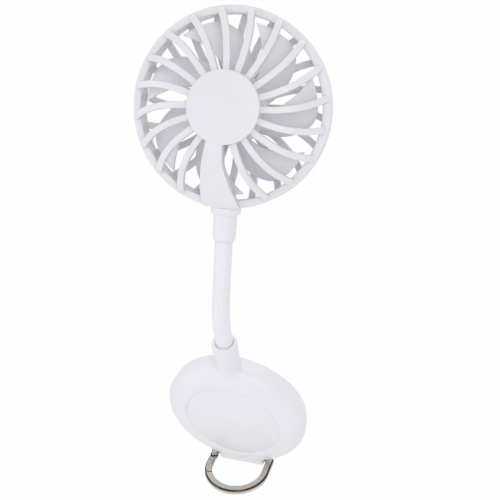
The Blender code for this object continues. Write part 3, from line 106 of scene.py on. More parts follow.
class Finish:
    """One procedural material built around a Principled shader."""

    def __init__(self, name, colour, roughness, metallic=0.0):
        self.material = bpy.data.materials.new(name)
        self.material.use_nodes = True
        self.material.diffuse_color = (*colour, 1)
        self.tree = self.material.node_tree
        self.shader = self.tree.nodes["Principled BSDF"]
        self.set("Base Color", (*colour, 1))
        self.set("Roughness", roughness)
        self.set("Metallic", metallic)
        self.place = self.node("ShaderNodeTexCoord", {}, {}, "Object")

    def set(self, socket, value):
        if isinstance(value, Wire):
            self.tree.links.new(value.socket, self.shader.inputs[socket])
        else:
            self.shader.inputs[socket].default_value = value

    def node(self, kind, settings, inputs, output=0):
        made = self.tree.nodes.new(kind)
        for key, value in settings.items():
            if key == "stops":
                ramp = made.color_ramp
                for stop, (spot, colour) in zip(ramp.elements, value[:2]):
                    stop.position, stop.color = spot, colour
                for spot, colour in value[2:]:
                    ramp.elements.new(spot).color = colour
            else:
                setattr(made, key, value)
        for key, value in inputs.items():
            if isinstance(value, Wire):
                self.tree.links.new(value.socket, made.inputs[key])
            else:
                made.inputs[key].default_value = value
        return Wire(self, made.outputs[output])

    def noise(self, scale, detail=2.0, rough=0.5, place=None):
        return self.node("ShaderNodeTexNoise", {}, {
            "Vector": place or self.place, "Scale": scale, "Detail": detail,
            "Roughness": rough})

    def mix(self, share, first, second):
        return self.node("ShaderNodeMix", {"data_type": "RGBA"},
                         {0: share, 6: first, 7: second}, 2)

    def ramp(self, value, low, high):
        return self.node("ShaderNodeMapRange", {}, {
            "Value": value, "From Min": low, "From Max": high})

    def bump(self, height, strength, distance, under=None):
        inputs = {"Height": height, "Strength": strength, "Distance": distance}
        if under:
            inputs["Normal"] = under
        return self.node("ShaderNodeBump", {}, inputs)

    def stretched(self, scale):
        return self.node("ShaderNodeMapping", {},
                         {"Vector": self.place, "Scale": scale})


def moulded_plastic(name, colour, shade, roughness):
    """Injection-moulded satin plastic: faint cloudiness and a fine spark grain."""
    finish = Finish(name, colour, roughness)
    cloud = finish.ramp(finish.noise(55.0, 3.0), 0.35, 0.68)
    finish.set("Base Color", finish.mix(cloud, (*shade, 1), (*colour, 1)))
    rub = finish.ramp(finish.noise(140.0, 4.0, 0.62), 0.30, 0.72)
    finish.set("Roughness", rub * 0.10 + (roughness - 0.05))
    flow = finish.bump(finish.noise(230.0, 2.0), 0.05, 0.0004)
    finish.set("Normal", finish.bump(finish.noise(2600.0, 2.0), 0.10, 0.00006,
                                     flow))
    finish.set("IOR", 1.46)
    finish.set("Specular IOR Level", 0.42)
    return finish.material


# A plain pale floor and soft studio light stand round the fan.
# The background is white to the camera and in reflections, not brighter light.
FLOOR_HEIGHT = -0.105
FLOOR_SIZE = 6.0

world = bpy.data.worlds.new("soft_room")
bpy.context.scene.world = world
world.use_nodes = True
sky = world.node_tree
sky_light = sky.nodes["Background"]
sky_light.inputs["Color"].default_value = (0.955, 0.96, 1.0, 1)
sky_light.inputs["Strength"].default_value = 0.77
white_sky = sky.nodes.new("ShaderNodeBackground")
white_sky.inputs["Color"].default_value = (1, 1, 1, 1)
white_sky.inputs["Strength"].default_value = 1.0
ray = sky.nodes.new("ShaderNodeLightPath")
seen = ray.outputs["Is Camera Ray"]
for kind in ("Is Glossy Ray", "Is Transmission Ray"):
    either = sky.nodes.new("ShaderNodeMath")
    either.operation = "MAXIMUM"
    sky.links.new(seen, either.inputs[0])
    sky.links.new(ray.outputs[kind], either.inputs[1])
    seen = either.outputs[0]
sky_mix = sky.nodes.new("ShaderNodeMixShader")
sky.links.new(seen, sky_mix.inputs[0])
sky.links.new(sky_light.outputs[0], sky_mix.inputs[1])
sky.links.new(white_sky.outputs[0], sky_mix.inputs[2])
sky.links.new(sky_mix.outputs[0], sky.nodes["World Output"].inputs["Surface"])

bpy.ops.object.select_all(action="DESELECT")
bpy.ops.mesh.primitive_plane_add(size=FLOOR_SIZE, location=(0, 0, FLOOR_HEIGHT))
floor = bpy.context.active_object
floor.name = "pale_floor"
floor_paint = Finish("pale_floor", (0.90, 0.90, 0.905), 0.9)
floor_glow = floor_paint.node("ShaderNodeEmission", {}, {
    "Color": (1, 1, 1, 1), "Strength": 1.0})
floor_seen = floor_paint.node("ShaderNodeLightPath", {}, {}, "Is Camera Ray")
for kind in ("Is Glossy Ray", "Is Transmission Ray"):
    floor_seen = floor_seen + floor_paint.node("ShaderNodeLightPath", {}, {}, kind)
floor_mix = floor_paint.node("ShaderNodeMixShader", {}, {
    0: floor_seen * 0.92, 1: Wire(floor_paint, floor_paint.shader.outputs[0]),
    2: floor_glow})
floor_paint.tree.links.new(
    floor_mix.socket,
    floor_paint.tree.nodes["Material Output"].inputs["Surface"])
floor.data.materials.append(floor_paint.material)


def soft_lamp(name, place, target, size, power, tint=(1, 1, 1)):
    """Hang a large soft lamp that faces a point."""
    lamp_data = bpy.data.lights.new(name, "AREA")
    lamp_data.size = size
    lamp_data.energy = power
    lamp_data.color = tint
    lamp = bpy.data.objects.new(name, lamp_data)
    bpy.context.scene.collection.objects.link(lamp)
    lamp.location = place
    aim = Vector(target) - Vector(place)
    lamp.rotation_euler = aim.to_track_quat("-Z", "Y").to_euler()
    return lamp


soft_lamp("key_lamp", (0.45, -0.75, 0.85), (0, 0, 0.05), 0.6, 3.4)
soft_lamp("left_lamp", (-0.9, -0.5, 0.35), (0, 0, 0.05), 0.7, 1.8,
          (0.97, 0.98, 1))
soft_lamp("back_lamp", (0.1, 0.9, 0.7), (0, 0, 0.08), 0.7, 2.2)

# Frames of the object: the puck lies on its flat back, so its depth runs along -Y.
# The head is leant and turned on the end of the neck.
PUCK = Matrix.Rotation(math.radians(90), 4, "X")
BOSS_DEPTH = 0.0077
BOSS_TOP = 0.0463
NECK_FOOT = Vector((0, -BOSS_DEPTH, BOSS_TOP))
NECK_LENGTH = 0.043255
NECK_LEAN = math.radians(35.72)
NECK_BULGE = math.radians(14.703)
NECK_SWAY = math.radians(5.64)
NECK_TURN = math.radians(-1.34)
NECK_BEND_SHARE = 0.58
HEAD_TWIST = math.radians(5.44)
FERRULE_LENGTH = 0.0134
DRUM_RADIUS = 0.0392


def neck_way(share):
    """Direction of the neck at a share of its length."""
    ease = min(1, share / NECK_BEND_SHARE)
    ease = ease * ease * (3 - 2 * ease)
    lean = NECK_LEAN * ease + NECK_BULGE * math.sin(math.pi * share) ** 2
    side = NECK_TURN * share - NECK_SWAY * math.sin(math.pi * share)
    return Vector((math.sin(side), math.cos(side) * math.sin(lean),
                   math.cos(side) * math.cos(lean)))


def neck_line(steps=140):
    """Points of the neck's middle line from the boss to the collar."""
    spot = NECK_FOOT.copy()
    line = [spot.copy()]
    for i in range(steps):
        spot = spot + neck_way((i + 0.5) / steps) * (NECK_LENGTH / steps)
        line.append(spot.copy())
    return line


NECK_LINE = neck_line()


def neck_spot(length):
    """A place at a length along the neck, straight on past its ends."""
    if length <= 0:
        return NECK_LINE[0] + neck_way(0) * length
    if length >= NECK_LENGTH:
        return NECK_LINE[-1] + neck_way(1) * (length - NECK_LENGTH)
    where = length / NECK_LENGTH * (len(NECK_LINE) - 1)
    low = min(int(where), len(NECK_LINE) - 2)
    return NECK_LINE[low].lerp(NECK_LINE[low + 1], where - low)


HEAD = (Matrix.Translation(neck_spot(NECK_LENGTH + FERRULE_LENGTH + DRUM_RADIUS))
        @ Matrix.Rotation(-NECK_LEAN, 4, "X")
        @ Matrix.Rotation(NECK_TURN, 4, "Y")
        @ Matrix.Rotation(HEAD_TWIST, 4, "Z"))
AXLE = HEAD @ Matrix.Rotation(math.radians(90), 4, "X")

# Puck housing: one white satin moulding, a low dome with a flat front.
# The neck's socket grows out of its top edge and a lug hangs under it.
PUCK_RADIUS = 0.0311
PUCK_BACK_RADIUS = 0.0301
PUCK_WIDEST_DEPTH = 0.0069
PUCK_FRONT_RADIUS = 0.02125
PUCK_DEPTH = 0.0134
PUCK_BACK_DEPTH = 0.00066
PUCK_WALL = 0.0016
INLAY_FLOOR = 0.0120
LID_TOP = 0.00286
PUCK_LIP = 0.0013
PIECE_GAP = 0.0003
BOSS_RADIUS = 0.00535
BOSS_ROOT = 0.0190
BOSS_BORE = 0.00362
BOSS_BORE_DEPTH = 0.0165
BOSS_ROUNDING = 0.0008
BOSS_BLEND_SHARE = 0.85
BOSS_FRONT_FALL = 0.0042
BOSS_SPREAD = 0.0018
BLEND_HALF_WIDTH = 0.0125
BLEND_TOP = 0.0375
BLEND_BACK = 0.0085
BLEND_FADE = 0.003
LUG_WIDTH = 0.0210
LUG_RADIUS = 0.0021
LUG_ROOT_DROP = 0.0245
HINGE_SHIFT = -0.0004
BAR_DEPTH = 0.0078
BAR_DROP = 0.0319
BAR_HOLE = 0.0012
HOUSING_VOXEL = 0.00042

white_plastic = moulded_plastic("white_satin_plastic", (0.80, 0.80, 0.82),
                                (0.78, 0.78, 0.80), 0.36)


def tidy_select(piece):
    """Select one piece alone and make it active."""
    bpy.ops.object.select_all(action="DESELECT")
    piece.select_set(True)
    bpy.context.view_layer.objects.active = piece


def settle(piece, place=None):
    """Move a piece to its place and put that place into its mesh."""
    bpy.context.view_layer.update()
    piece.matrix_world = (place or Matrix.Identity(4)) @ piece.matrix_world
    tidy_select(piece)
    bpy.ops.object.transform_apply(location=True, rotation=True, scale=True)
    return piece


def ringed(name, rings, sides=96, closed=False):
    """Raise a round wall: a circle extruded ring by ring, each (radius, height).

    Open walls are capped at both ends; a closed wall meets its first ring.
    """
    bpy.ops.object.select_all(action="DESELECT")
    if closed:
        rings = rings + rings[:1]
    radius, height = rings[0]
    bpy.ops.mesh.primitive_circle_add(vertices=sides, radius=radius,
                                      location=(0, 0, 0))
    piece = bpy.context.active_object
    piece.name = name
    piece.data.name = name
    bpy.ops.object.mode_set(mode="EDIT")
    bpy.ops.mesh.select_all(action="SELECT")
    bpy.ops.transform.translate(value=(0, 0, height))
    if not closed:
        bpy.ops.mesh.edge_face_add()
        bpy.ops.mesh.select_all(action="SELECT")
    for next_radius, next_height in rings[1:]:
        if closed:
            bpy.ops.mesh.extrude_edges_move(TRANSFORM_OT_translate={
                "value": (0, 0, next_height - height)})
        else:
            bpy.ops.mesh.extrude_region_move(TRANSFORM_OT_translate={
                "value": (0, 0, next_height - height)})
        size = next_radius / radius
        bpy.ops.transform.resize(value=(size, size, 1),
                                 center_override=(0, 0, next_height))
        radius, height = next_radius, next_height
    bpy.ops.mesh.select_all(action="SELECT")
    bpy.ops.mesh.remove_doubles(threshold=0.000002)
    bpy.ops.mesh.normals_make_consistent(inside=False)
    bpy.ops.object.mode_set(mode="OBJECT")
    return piece


def apply_modifier(piece, kind, **settings):
    """Add a modifier, set it and apply it."""
    tidy_select(piece)
    mod = piece.modifiers.new(kind.lower(), kind)
    for key, value in settings.items():
        setattr(mod, key, value)
    bpy.ops.object.modifier_apply(modifier=mod.name)
    return piece


def carve(piece, tool, operation="DIFFERENCE"):
    """Cut, fuse or keep with another solid, which is then thrown away."""
    apply_modifier(piece, "BOOLEAN", object=tool, operation=operation,
                   solver="EXACT")
    bpy.data.objects.remove(tool, do_unlink=True)
    return piece


def smooth_over(piece, degrees):
    """Shade smooth and keep the real edges sharp."""
    tidy_select(piece)
    bpy.ops.object.shade_smooth_by_angle(angle=math.radians(degrees))
    return piece


def dress(piece, place, degrees, material, body, slot, *nodes):
    """Set a piece in its place, give it its finish and body, and hide its nodes; the
    slot is not used.
    """
    settle(piece, place)
    smooth_over(piece, degrees)
    piece.data.materials.clear()
    piece.data.materials.append(material)
    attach(piece, body)
    if nodes:
        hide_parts(*nodes)
    return piece


def dome_rings(wall, front, back, steps=14):
    """Radii and depths down the puck's side, from its back to its front."""
    rings = [(PUCK_BACK_RADIUS - wall, back)]
    swell = PUCK_RADIUS - PUCK_FRONT_RADIUS
    for i in range(steps + 1):
        turn = math.radians(90) * (1 - i / steps)
        rings.append((PUCK_FRONT_RADIUS + swell * math.sin(turn) - wall,
                      PUCK_WIDEST_DEPTH
                      + (front - PUCK_WIDEST_DEPTH) * math.cos(turn)))
    return rings


def socket_boss(steps=16, sides=64):
    """The socket's outer form, an extruded circle that spreads at its root."""
    bpy.ops.object.select_all(action="DESELECT")
    bpy.ops.mesh.primitive_circle_add(vertices=sides, radius=1,
                                      fill_type="NGON")
    boss = bpy.context.active_object
    bpy.ops.object.mode_set(mode="EDIT")
    bpy.ops.mesh.select_all(action="SELECT")
    for i in range(steps + 1):
        bpy.ops.mesh.extrude_region_move(TRANSFORM_OT_translate={
            "value": (0, 0, 1)})
    bpy.ops.mesh.select_all(action="SELECT")
    bpy.ops.mesh.normals_make_consistent(inside=False)
    bpy.ops.object.mode_set(mode="OBJECT")
    blend_top = BOSS_ROOT + (BOSS_TOP - BOSS_ROOT) * BOSS_BLEND_SHARE
    rows = []
    for i in range(steps - 2):
        share = 1 - i / (steps - 3)
        height = blend_top - (blend_top - BOSS_ROOT) * share
        rows.append((height, BOSS_RADIUS + BOSS_SPREAD * share ** 3,
                     BOSS_RADIUS - BOSS_FRONT_FALL * share ** 2))
    for turn in (0, 30, 60, 90):
        back = BOSS_ROUNDING * (1 - math.cos(math.radians(turn)))
        drop = BOSS_ROUNDING * (1 - math.sin(math.radians(turn)))
        rows.append((BOSS_TOP - drop, BOSS_RADIUS - back, BOSS_RADIUS - back))
    for vertex in boss.data.vertices:
        height, wide, reach = rows[round(vertex.co.z)]
        ahead = reach if vertex.co.y > 0 else min(wide, BOSS_RADIUS)
        vertex.co = (vertex.co.x * wide, height,
                     BOSS_DEPTH + vertex.co.y * ahead)
    return boss


def rounded_box(name, size, centre, rounding, segments=3):
    """A block with rounded edges."""
    bpy.ops.object.select_all(action="DESELECT")
    bpy.ops.mesh.primitive_cube_add(size=1, location=centre)
    block = bpy.context.active_object
    block.name = name
    block.data.name = name
    block.scale = size
    bpy.ops.object.transform_apply(location=True, rotation=False, scale=True)
    if rounding:
        apply_modifier(block, "BEVEL", width=rounding, segments=segments,
                       limit_method="NONE")
    return block


housing = ringed("puck_housing", dome_rings(0, PUCK_DEPTH, PUCK_BACK_DEPTH), 128)
carve(housing, socket_boss(), "UNION")
lug = rounded_box("lug", (LUG_WIDTH, BAR_DROP - LUG_ROOT_DROP + LUG_RADIUS,
                          2 * LUG_RADIUS),
                  (HINGE_SHIFT, -(BAR_DROP + LUG_ROOT_DROP + LUG_RADIUS) / 2,
                   BAR_DEPTH), LUG_RADIUS * 0.75, 5)
carve(housing, lug, "UNION")
apply_modifier(housing, "REMESH", mode="VOXEL", voxel_size=HOUSING_VOXEL,
               use_smooth_shade=True)
apply_modifier(housing, "SMOOTH", factor=0.5, iterations=10)
root_blend = housing.vertex_groups.new(name="root_blend")
for vertex in housing.data.vertices:
    x, y, z = vertex.co
    inside = min(BLEND_HALF_WIDTH - abs(x), y - BOSS_ROOT, BLEND_TOP - y,
                 z - BLEND_BACK) / BLEND_FADE
    if inside > 0:
        root_blend.add([vertex.index], min(1, inside), "REPLACE")
apply_modifier(housing, "SMOOTH", factor=0.5, iterations=120,
               vertex_group="root_blend")
hollow = ringed("hollow", [(PUCK_BACK_RADIUS - PUCK_LIP, -0.001),
                           (PUCK_BACK_RADIUS - PUCK_LIP, LID_TOP + PIECE_GAP)]
                + dome_rings(PUCK_WALL, INLAY_FLOOR - PUCK_WALL / 2,
                             LID_TOP + PIECE_GAP), 96)
carve(housing, hollow)
seat = ringed("inlay_seat", [(PUCK_FRONT_RADIUS - 0.0002, INLAY_FLOOR),
                             (PUCK_FRONT_RADIUS - 0.0002, PUCK_DEPTH - 0.00040),
                             (PUCK_FRONT_RADIUS + 0.00005, PUCK_DEPTH - 0.00022),
                             (PUCK_FRONT_RADIUS + 0.00045, PUCK_DEPTH - 0.00008),
                             (PUCK_FRONT_RADIUS + 0.0010, PUCK_DEPTH + 0.0001),
                             (PUCK_FRONT_RADIUS + 0.0010, PUCK_DEPTH + 0.002)],
              160)
carve(housing, seat)
bore = ringed("socket_bore", [(BOSS_BORE, BOSS_TOP - BOSS_BORE_DEPTH),
                              (BOSS_BORE, BOSS_TOP - 0.00045),
                              (BOSS_BORE + 0.00012, BOSS_TOP - 0.00018),
                              (BOSS_BORE + 0.0005, BOSS_TOP + 0.0001),
                              (BOSS_BORE + 0.0005, BOSS_TOP + 0.001)], 72)
bore.rotation_euler = (math.radians(-90), 0, 0)
bore.location = (0, 0, BOSS_DEPTH)
carve(housing, settle(bore))
bar_hole = ringed("bar_hole", [(BAR_HOLE, -LUG_WIDTH), (BAR_HOLE, LUG_WIDTH)],
                  32)
bar_hole.rotation_euler = (0, math.radians(90), 0)
bar_hole.location = (0, -BAR_DROP, BAR_DEPTH)
carve(housing, settle(bar_hole))

# Openings in the rim for the charging port, the power button and the light.
PORT_DEPTH = 0.0086
PORT_WIDTH = 0.0089
PORT_HEIGHT = 0.0032
PORT_FACE = 0.0295
BUTTON_ANGLE = math.radians(222)
BUTTON_DEPTH = PUCK_WIDEST_DEPTH + 0.0003
BUTTON_SIZE = (0.0034, 0.0086, 0.0030)
BUTTON_OUT = PUCK_RADIUS + 0.0005
LIGHT_ANGLE = math.radians(203)
LIGHT_RADIUS = 0.0006


def port_block(name, grow, length, outer):
    """A flat block with round ends that lies along the rim."""
    block = rounded_box(name, (length, PORT_WIDTH + 2 * grow,
                               PORT_HEIGHT + 2 * grow), (0, 0, 0), 0)
    tidy_select(block)
    bpy.ops.object.mode_set(mode="EDIT")
    bpy.ops.mesh.select_all(action="DESELECT")
    bpy.ops.object.mode_set(mode="OBJECT")
    for edge in block.data.edges:
        ends = [block.data.vertices[i].co for i in edge.vertices]
        edge.select = abs(ends[0].x - ends[1].x) > length / 2
    bpy.ops.object.mode_set(mode="EDIT")
    bpy.ops.mesh.select_mode(type="EDGE")
    bpy.ops.mesh.bevel(offset=(PORT_HEIGHT / 2 + grow) * 0.995, segments=8,
                       affect="EDGES")
    bpy.ops.object.mode_set(mode="OBJECT")
    block.location = (-outer + length / 2, 0, PORT_DEPTH)
    return settle(block)


def on_rim(piece, angle, radius, depth):
    """Stand a piece on the rim with its X pointing outward."""
    return settle(piece, Matrix.Rotation(angle, 4, "Z")
                  @ Matrix.Translation((radius, 0, depth)))


carve(housing, port_block("port_hole", 0.00022, 0.009, 0.034))
slot_tool = rounded_box("button_hole", (BUTTON_SIZE[0] + 0.004,
                                        BUTTON_SIZE[1] + 0.0005,
                                        BUTTON_SIZE[2] + 0.0005),
                        (0, 0, 0), 0.0009, 4)
carve(housing, on_rim(slot_tool, BUTTON_ANGLE, BUTTON_OUT - 0.0006,
                      BUTTON_DEPTH))
light_tool = ringed("light_hole", [(LIGHT_RADIUS + 0.0001, -0.003),
                                   (LIGHT_RADIUS + 0.0001, 0.003)], 24)
light_tool.rotation_euler = (0, math.radians(90), 0)
carve(housing, on_rim(settle(light_tool), LIGHT_ANGLE, PUCK_RADIUS - 0.0006,
                      PORT_DEPTH))
dress(housing, PUCK, 40, white_plastic, "base", "housing", "base_front_cover")

# Front disc: a thin flat white plate pressed into the front, its edge eased.
# A hair-wide groove is left round it.
INLAY_RADIUS = 0.02104
inlay = ringed("front_disc", [(INLAY_RADIUS, INLAY_FLOOR + PIECE_GAP),
                              (INLAY_RADIUS, PUCK_DEPTH - 0.00040),
                              (INLAY_RADIUS - 0.00020, PUCK_DEPTH - 0.00024),
                              (INLAY_RADIUS - 0.00070, PUCK_DEPTH - 0.00012),
                              (INLAY_RADIUS - 0.00090, PUCK_DEPTH)], 160)
dress(inlay, PUCK, 32, white_plastic, "base", "housing", "front_inlay")

# Back lid and contact pad: a plain white lid screwed to posts, and a soft disc.
# The pad is moulded silicone with a softened edge, bonded into the lid's recess.
PAD_RADIUS = 0.0258
PAD_THICKNESS = 0.0012
LID_RADIUS = 0.0285
SCREW_RING = 0.0200
SCREW_ANGLES = (60, 120, 240, 300)
SCREW_HEAD_WAY = 0.0019
SCREW_WAY = 0.0012
SCREW_SEAT = 0.0024

lid = ringed("back_lid", [(PAD_RADIUS + PIECE_GAP, PAD_THICKNESS + PIECE_GAP),
                          (PAD_RADIUS + PIECE_GAP, PUCK_BACK_DEPTH + 0.0001),
                          (PAD_RADIUS + 0.0004, PUCK_BACK_DEPTH),
                          (LID_RADIUS - 0.0003, PUCK_BACK_DEPTH),
                          (LID_RADIUS, PUCK_BACK_DEPTH + 0.0003),
                          (LID_RADIUS, LID_TOP)], 160)
for turn in SCREW_ANGLES:
    way = ringed("screw_way", [(SCREW_HEAD_WAY, -0.001),
                               (SCREW_HEAD_WAY, SCREW_SEAT),
                               (SCREW_WAY, SCREW_SEAT), (SCREW_WAY, 0.005)], 32)
    way.location = (SCREW_RING * math.cos(math.radians(turn)),
                    SCREW_RING * math.sin(math.radians(turn)), 0)
    carve(lid, settle(way))
dress(lid, PUCK, 32, white_plastic, "base", "housing", "base_back_plate")

silicone = Finish("pale_silicone", (0.60, 0.60, 0.63), 0.62)
pad_grip = silicone.noise(900.0, 3.0, 0.6)
silicone.set("Roughness", silicone.ramp(silicone.noise(70.0, 3.0), 0.2, 0.8)
             * 0.14 + 0.55)
silicone.set("Normal", silicone.bump(pad_grip, 0.25, 0.0001))
pad = ringed("soft_pad", [(PAD_RADIUS - 0.0002, 0),
                          (PAD_RADIUS - 0.00005, 0.00005),
                          (PAD_RADIUS, 0.0002),
                          (PAD_RADIUS, PAD_THICKNESS)], 160)
dress(pad, PUCK, 32, silicone.material, "base", "pad", "contact_pad")

# Charging port: a drawn steel shell with a black tongue, set in the left rim.
# The tongue carries a row of plated contacts.
PORT_LENGTH = 0.0072
PORT_SHELL = 0.0003
TONGUE_SIZE = (0.0052, 0.0066, 0.0007)
TONGUE_MIDDLE = 0.0036

steel = Finish("bright_steel", (0.56, 0.56, 0.58), 0.28, 1.0)
steel_lines = steel.noise(60.0, 5.0, 0.6, steel.stretched((1.0, 18.0, 18.0)))
steel.set("Roughness", steel_lines * 0.22 + 0.20)
steel.set("Normal", steel.bump(steel_lines, 0.06, 0.00003))

black_plastic = Finish("black_plastic", (0.022, 0.022, 0.024), 0.42)
black_plastic.set("Roughness", black_plastic.noise(400.0, 3.0) * 0.2 + 0.34)
black_plastic.set("Normal", black_plastic.bump(black_plastic.noise(3000.0),
                                               0.12, 0.00005))

port = port_block("charging_port", 0, PORT_LENGTH, PORT_FACE)
carve(port, port_block("port_mouth", -PORT_SHELL, PORT_LENGTH,
                       PORT_FACE + 0.0009))
dress(port, PUCK, 40, steel.material, "base", "steel", "usb_port")
tongue = rounded_box("port_tongue", TONGUE_SIZE,
                     (TONGUE_MIDDLE - PORT_FACE, 0, PORT_DEPTH), 0.00015, 2)
dress(tongue, PUCK, 40, black_plastic.material, "base", "black_plastic")

# Power button and status light: a white moulded bar and a cloudy light pipe.
# Both stand in openings of the rim, between the port and the ring's lug.
button = rounded_box("white_button", BUTTON_SIZE, (0, 0, 0), 0.0007, 5)
on_rim(button, BUTTON_ANGLE, BUTTON_OUT - BUTTON_SIZE[0] / 2, BUTTON_DEPTH)
button_plastic = moulded_plastic("button_plastic", (0.76, 0.76, 0.80),
                                 (0.73, 0.73, 0.78), 0.44)
dress(button, PUCK, 40, button_plastic,
      "power_button", "button", "power_button")

light_pipe = Finish("cloudy_light_pipe", (0.70, 0.80, 0.76), 0.22)
light_pipe.set("Base Color", light_pipe.mix(light_pipe.noise(1500.0),
                                            (0.62, 0.74, 0.70, 1),
                                            (0.78, 0.86, 0.83, 1)))
light_pipe.set("Coat Weight", 0.4)
light = ringed("light_pipe", [(LIGHT_RADIUS, -0.0024),
                              (LIGHT_RADIUS, 0.0005),
                              (LIGHT_RADIUS * 0.8, 0.00070),
                              (LIGHT_RADIUS * 0.4, 0.00080)], 32)
light.rotation_euler = (0, math.radians(90), 0)
on_rim(settle(light), LIGHT_ANGLE, PUCK_RADIUS - 0.0008, PORT_DEPTH)
dress(light, PUCK, 50, light_pipe.material, "base", "light", "status_light")

# Snap ring: warm nickel-plated zinc, cast as a D with a hinge bar through the lug.
# Its left side is cut away for the gate, whose tongue turns on a pin in a fork.
# A dark reflection is painted into the finish as a near-black band just under the top
# face's outer edge.
RING_MID = 0.013115
RING_HALF_WIDTH = 0.001635
RING_HALF_HEIGHT = 0.00145
RING_ROUNDINGS = (0.0013, 0.0004, 0.0004, 0.0010)
RING_REACH = 0.0082
# Heights over the ring's middle where the painted dark reflection band fades in and
# out.
REFLECTION_BAND_START = (0.0003, 0.0008)
REFLECTION_BAND_END = (0.00125, 0.0014)
RING_LIFT = math.radians(10)
RING_PIVOT = (PUCK @ Matrix.Translation((HINGE_SHIFT, -BAR_DROP, BAR_DEPTH))
              @ Matrix.Rotation(-RING_LIFT, 4, "X"))
EYE_RADIUS = 0.0013
EYE_HALF_WIDTH = 0.0015
BAR_RADIUS = 0.0009
GATE_SPOT = (-RING_MID, 0, RING_REACH - 0.0047)
GATE_NOSE = RING_REACH + 0.0060
GATE_SIDE = -0.0194
GATE_SIDE_WIDTH = 0.031
GATE_PIN_RADIUS = 0.0005
GATE_PIN_EASE = 0.00015
FORK_BACK = 0.0020
FORK_AHEAD = 0.0039
FORK_SLOT = 0.0014
TONGUE_RADIUS = 0.0014
TONGUE_THICKNESS = 0.0008
TONGUE_TAIL = 0.0030
PEG_REACH = 0.004
RING_VOXEL = 0.00012

nickel = Finish("warm_nickel", (0.62, 0.57, 0.51), 0.13, 1.0)
nickel_wear = nickel.ramp(nickel.noise(260.0, 4.0, 0.6), 0.25, 0.75)
ring_up = RING_PIVOT.to_3x3() @ Vector((0, 1, 0))
ring_level = nickel.node("ShaderNodeVectorMath", {"operation": "DOT_PRODUCT"},
                         {0: nickel.place, 1: tuple(ring_up)}, 1)
ring_level = ring_level - ring_up.dot(RING_PIVOT.translation)
# Painted dark reflection: a mask for the near-black band mixed into the nickel's
# colour under the top face's outer edge.
painted_reflection_band = (nickel.ramp(ring_level, *REFLECTION_BAND_START)
             * (1 - nickel.ramp(ring_level, *REFLECTION_BAND_END)))
nickel.set("Base Color", nickel.mix(
    painted_reflection_band, nickel.mix(nickel_wear, (0.60, 0.56, 0.50, 1),
                          (0.68, 0.64, 0.58, 1)), (0.045, 0.040, 0.036, 1)))
nickel.set("Roughness", nickel_wear * 0.06 + 0.10)
nickel.set("Normal", nickel.bump(nickel.noise(900.0, 2.0), 0.02, 0.00002))


def stick(name, profile, row_count):
    """A filled profile in XY, extruded upward row by row."""
    bpy.ops.object.select_all(action="DESELECT")
    bpy.ops.mesh.primitive_circle_add(vertices=len(profile), radius=1,
                                      fill_type="NGON")
    piece = bpy.context.active_object
    piece.name = name
    piece.data.name = name
    for vertex, (x, y) in zip(piece.data.vertices, profile):
        vertex.co = (x, y, 0)
    bpy.ops.object.mode_set(mode="EDIT")
    bpy.ops.mesh.select_all(action="SELECT")
    for _ in range(row_count - 1):
        bpy.ops.mesh.extrude_region_move(
            TRANSFORM_OT_translate={"value": (0, 0, 1)})
    bpy.ops.object.mode_set(mode="OBJECT")
    return piece


def face_out(piece):
    """Point all the faces of a piece outward."""
    tidy_select(piece)
    bpy.ops.object.mode_set(mode="EDIT")
    bpy.ops.mesh.select_all(action="SELECT")
    bpy.ops.mesh.normals_make_consistent(inside=False)
    bpy.ops.object.mode_set(mode="OBJECT")
    return piece


def follow(piece, frames):
    """Set each row of a stick to its own frame, and point its faces out."""
    for vertex in piece.data.vertices:
        row = round(vertex.co.z)
        vertex.co = frames[row] @ Vector((vertex.co.x, vertex.co.y, 0))
    return face_out(piece)


def axes(right, up, place):
    """A frame whose X and Y are given, with its origin at a place."""
    return Matrix([(right[i], up[i], 0, place[i]) for i in range(3)]
                  + [(0, 0, 0, 1)])


def soft_oblong(half_wide, low, high, corners, steps=5):
    """A rectangle's outline with its own rounding at each corner.

    The corners go round from right top, over left top and left bottom.
    """
    middles = [(half_wide, high, -1, -1, 0), (-half_wide, high, 1, -1, 90),
               (-half_wide, low, 1, 1, 180), (half_wide, low, -1, 1, 270)]
    outline = []
    for (x, y, in_x, in_y, start), round_off in zip(middles, corners):
        for i in range(steps + 1):
            turn = math.radians(start + 90 * i / steps)
            outline.append((x + round_off * (in_x + math.cos(turn)),
                            y + round_off * (in_y + math.sin(turn))))
    return outline


def copied(piece, name):
    """Another piece with its own mesh."""
    twin = piece.copy()
    twin.data = piece.data.copy()
    twin.name = name
    bpy.context.scene.collection.objects.link(twin)
    return twin


def across_peg(radius, half, spot, sides=40):
    """A round tool along the ring frame's upward way."""
    tool = ringed("peg_tool", [(radius, -half), (radius, half)], sides)
    tool.rotation_euler = (math.radians(90), 0, 0)
    tool.location = spot
    return settle(tool)


def zone(start, end, height=0.01):
    """A block over the gate's side of the ring between two reaches."""
    return rounded_box("zone", (GATE_SIDE_WIDTH, height, end - start),
                       (GATE_SIDE, 0, (start + end) / 2), 0)


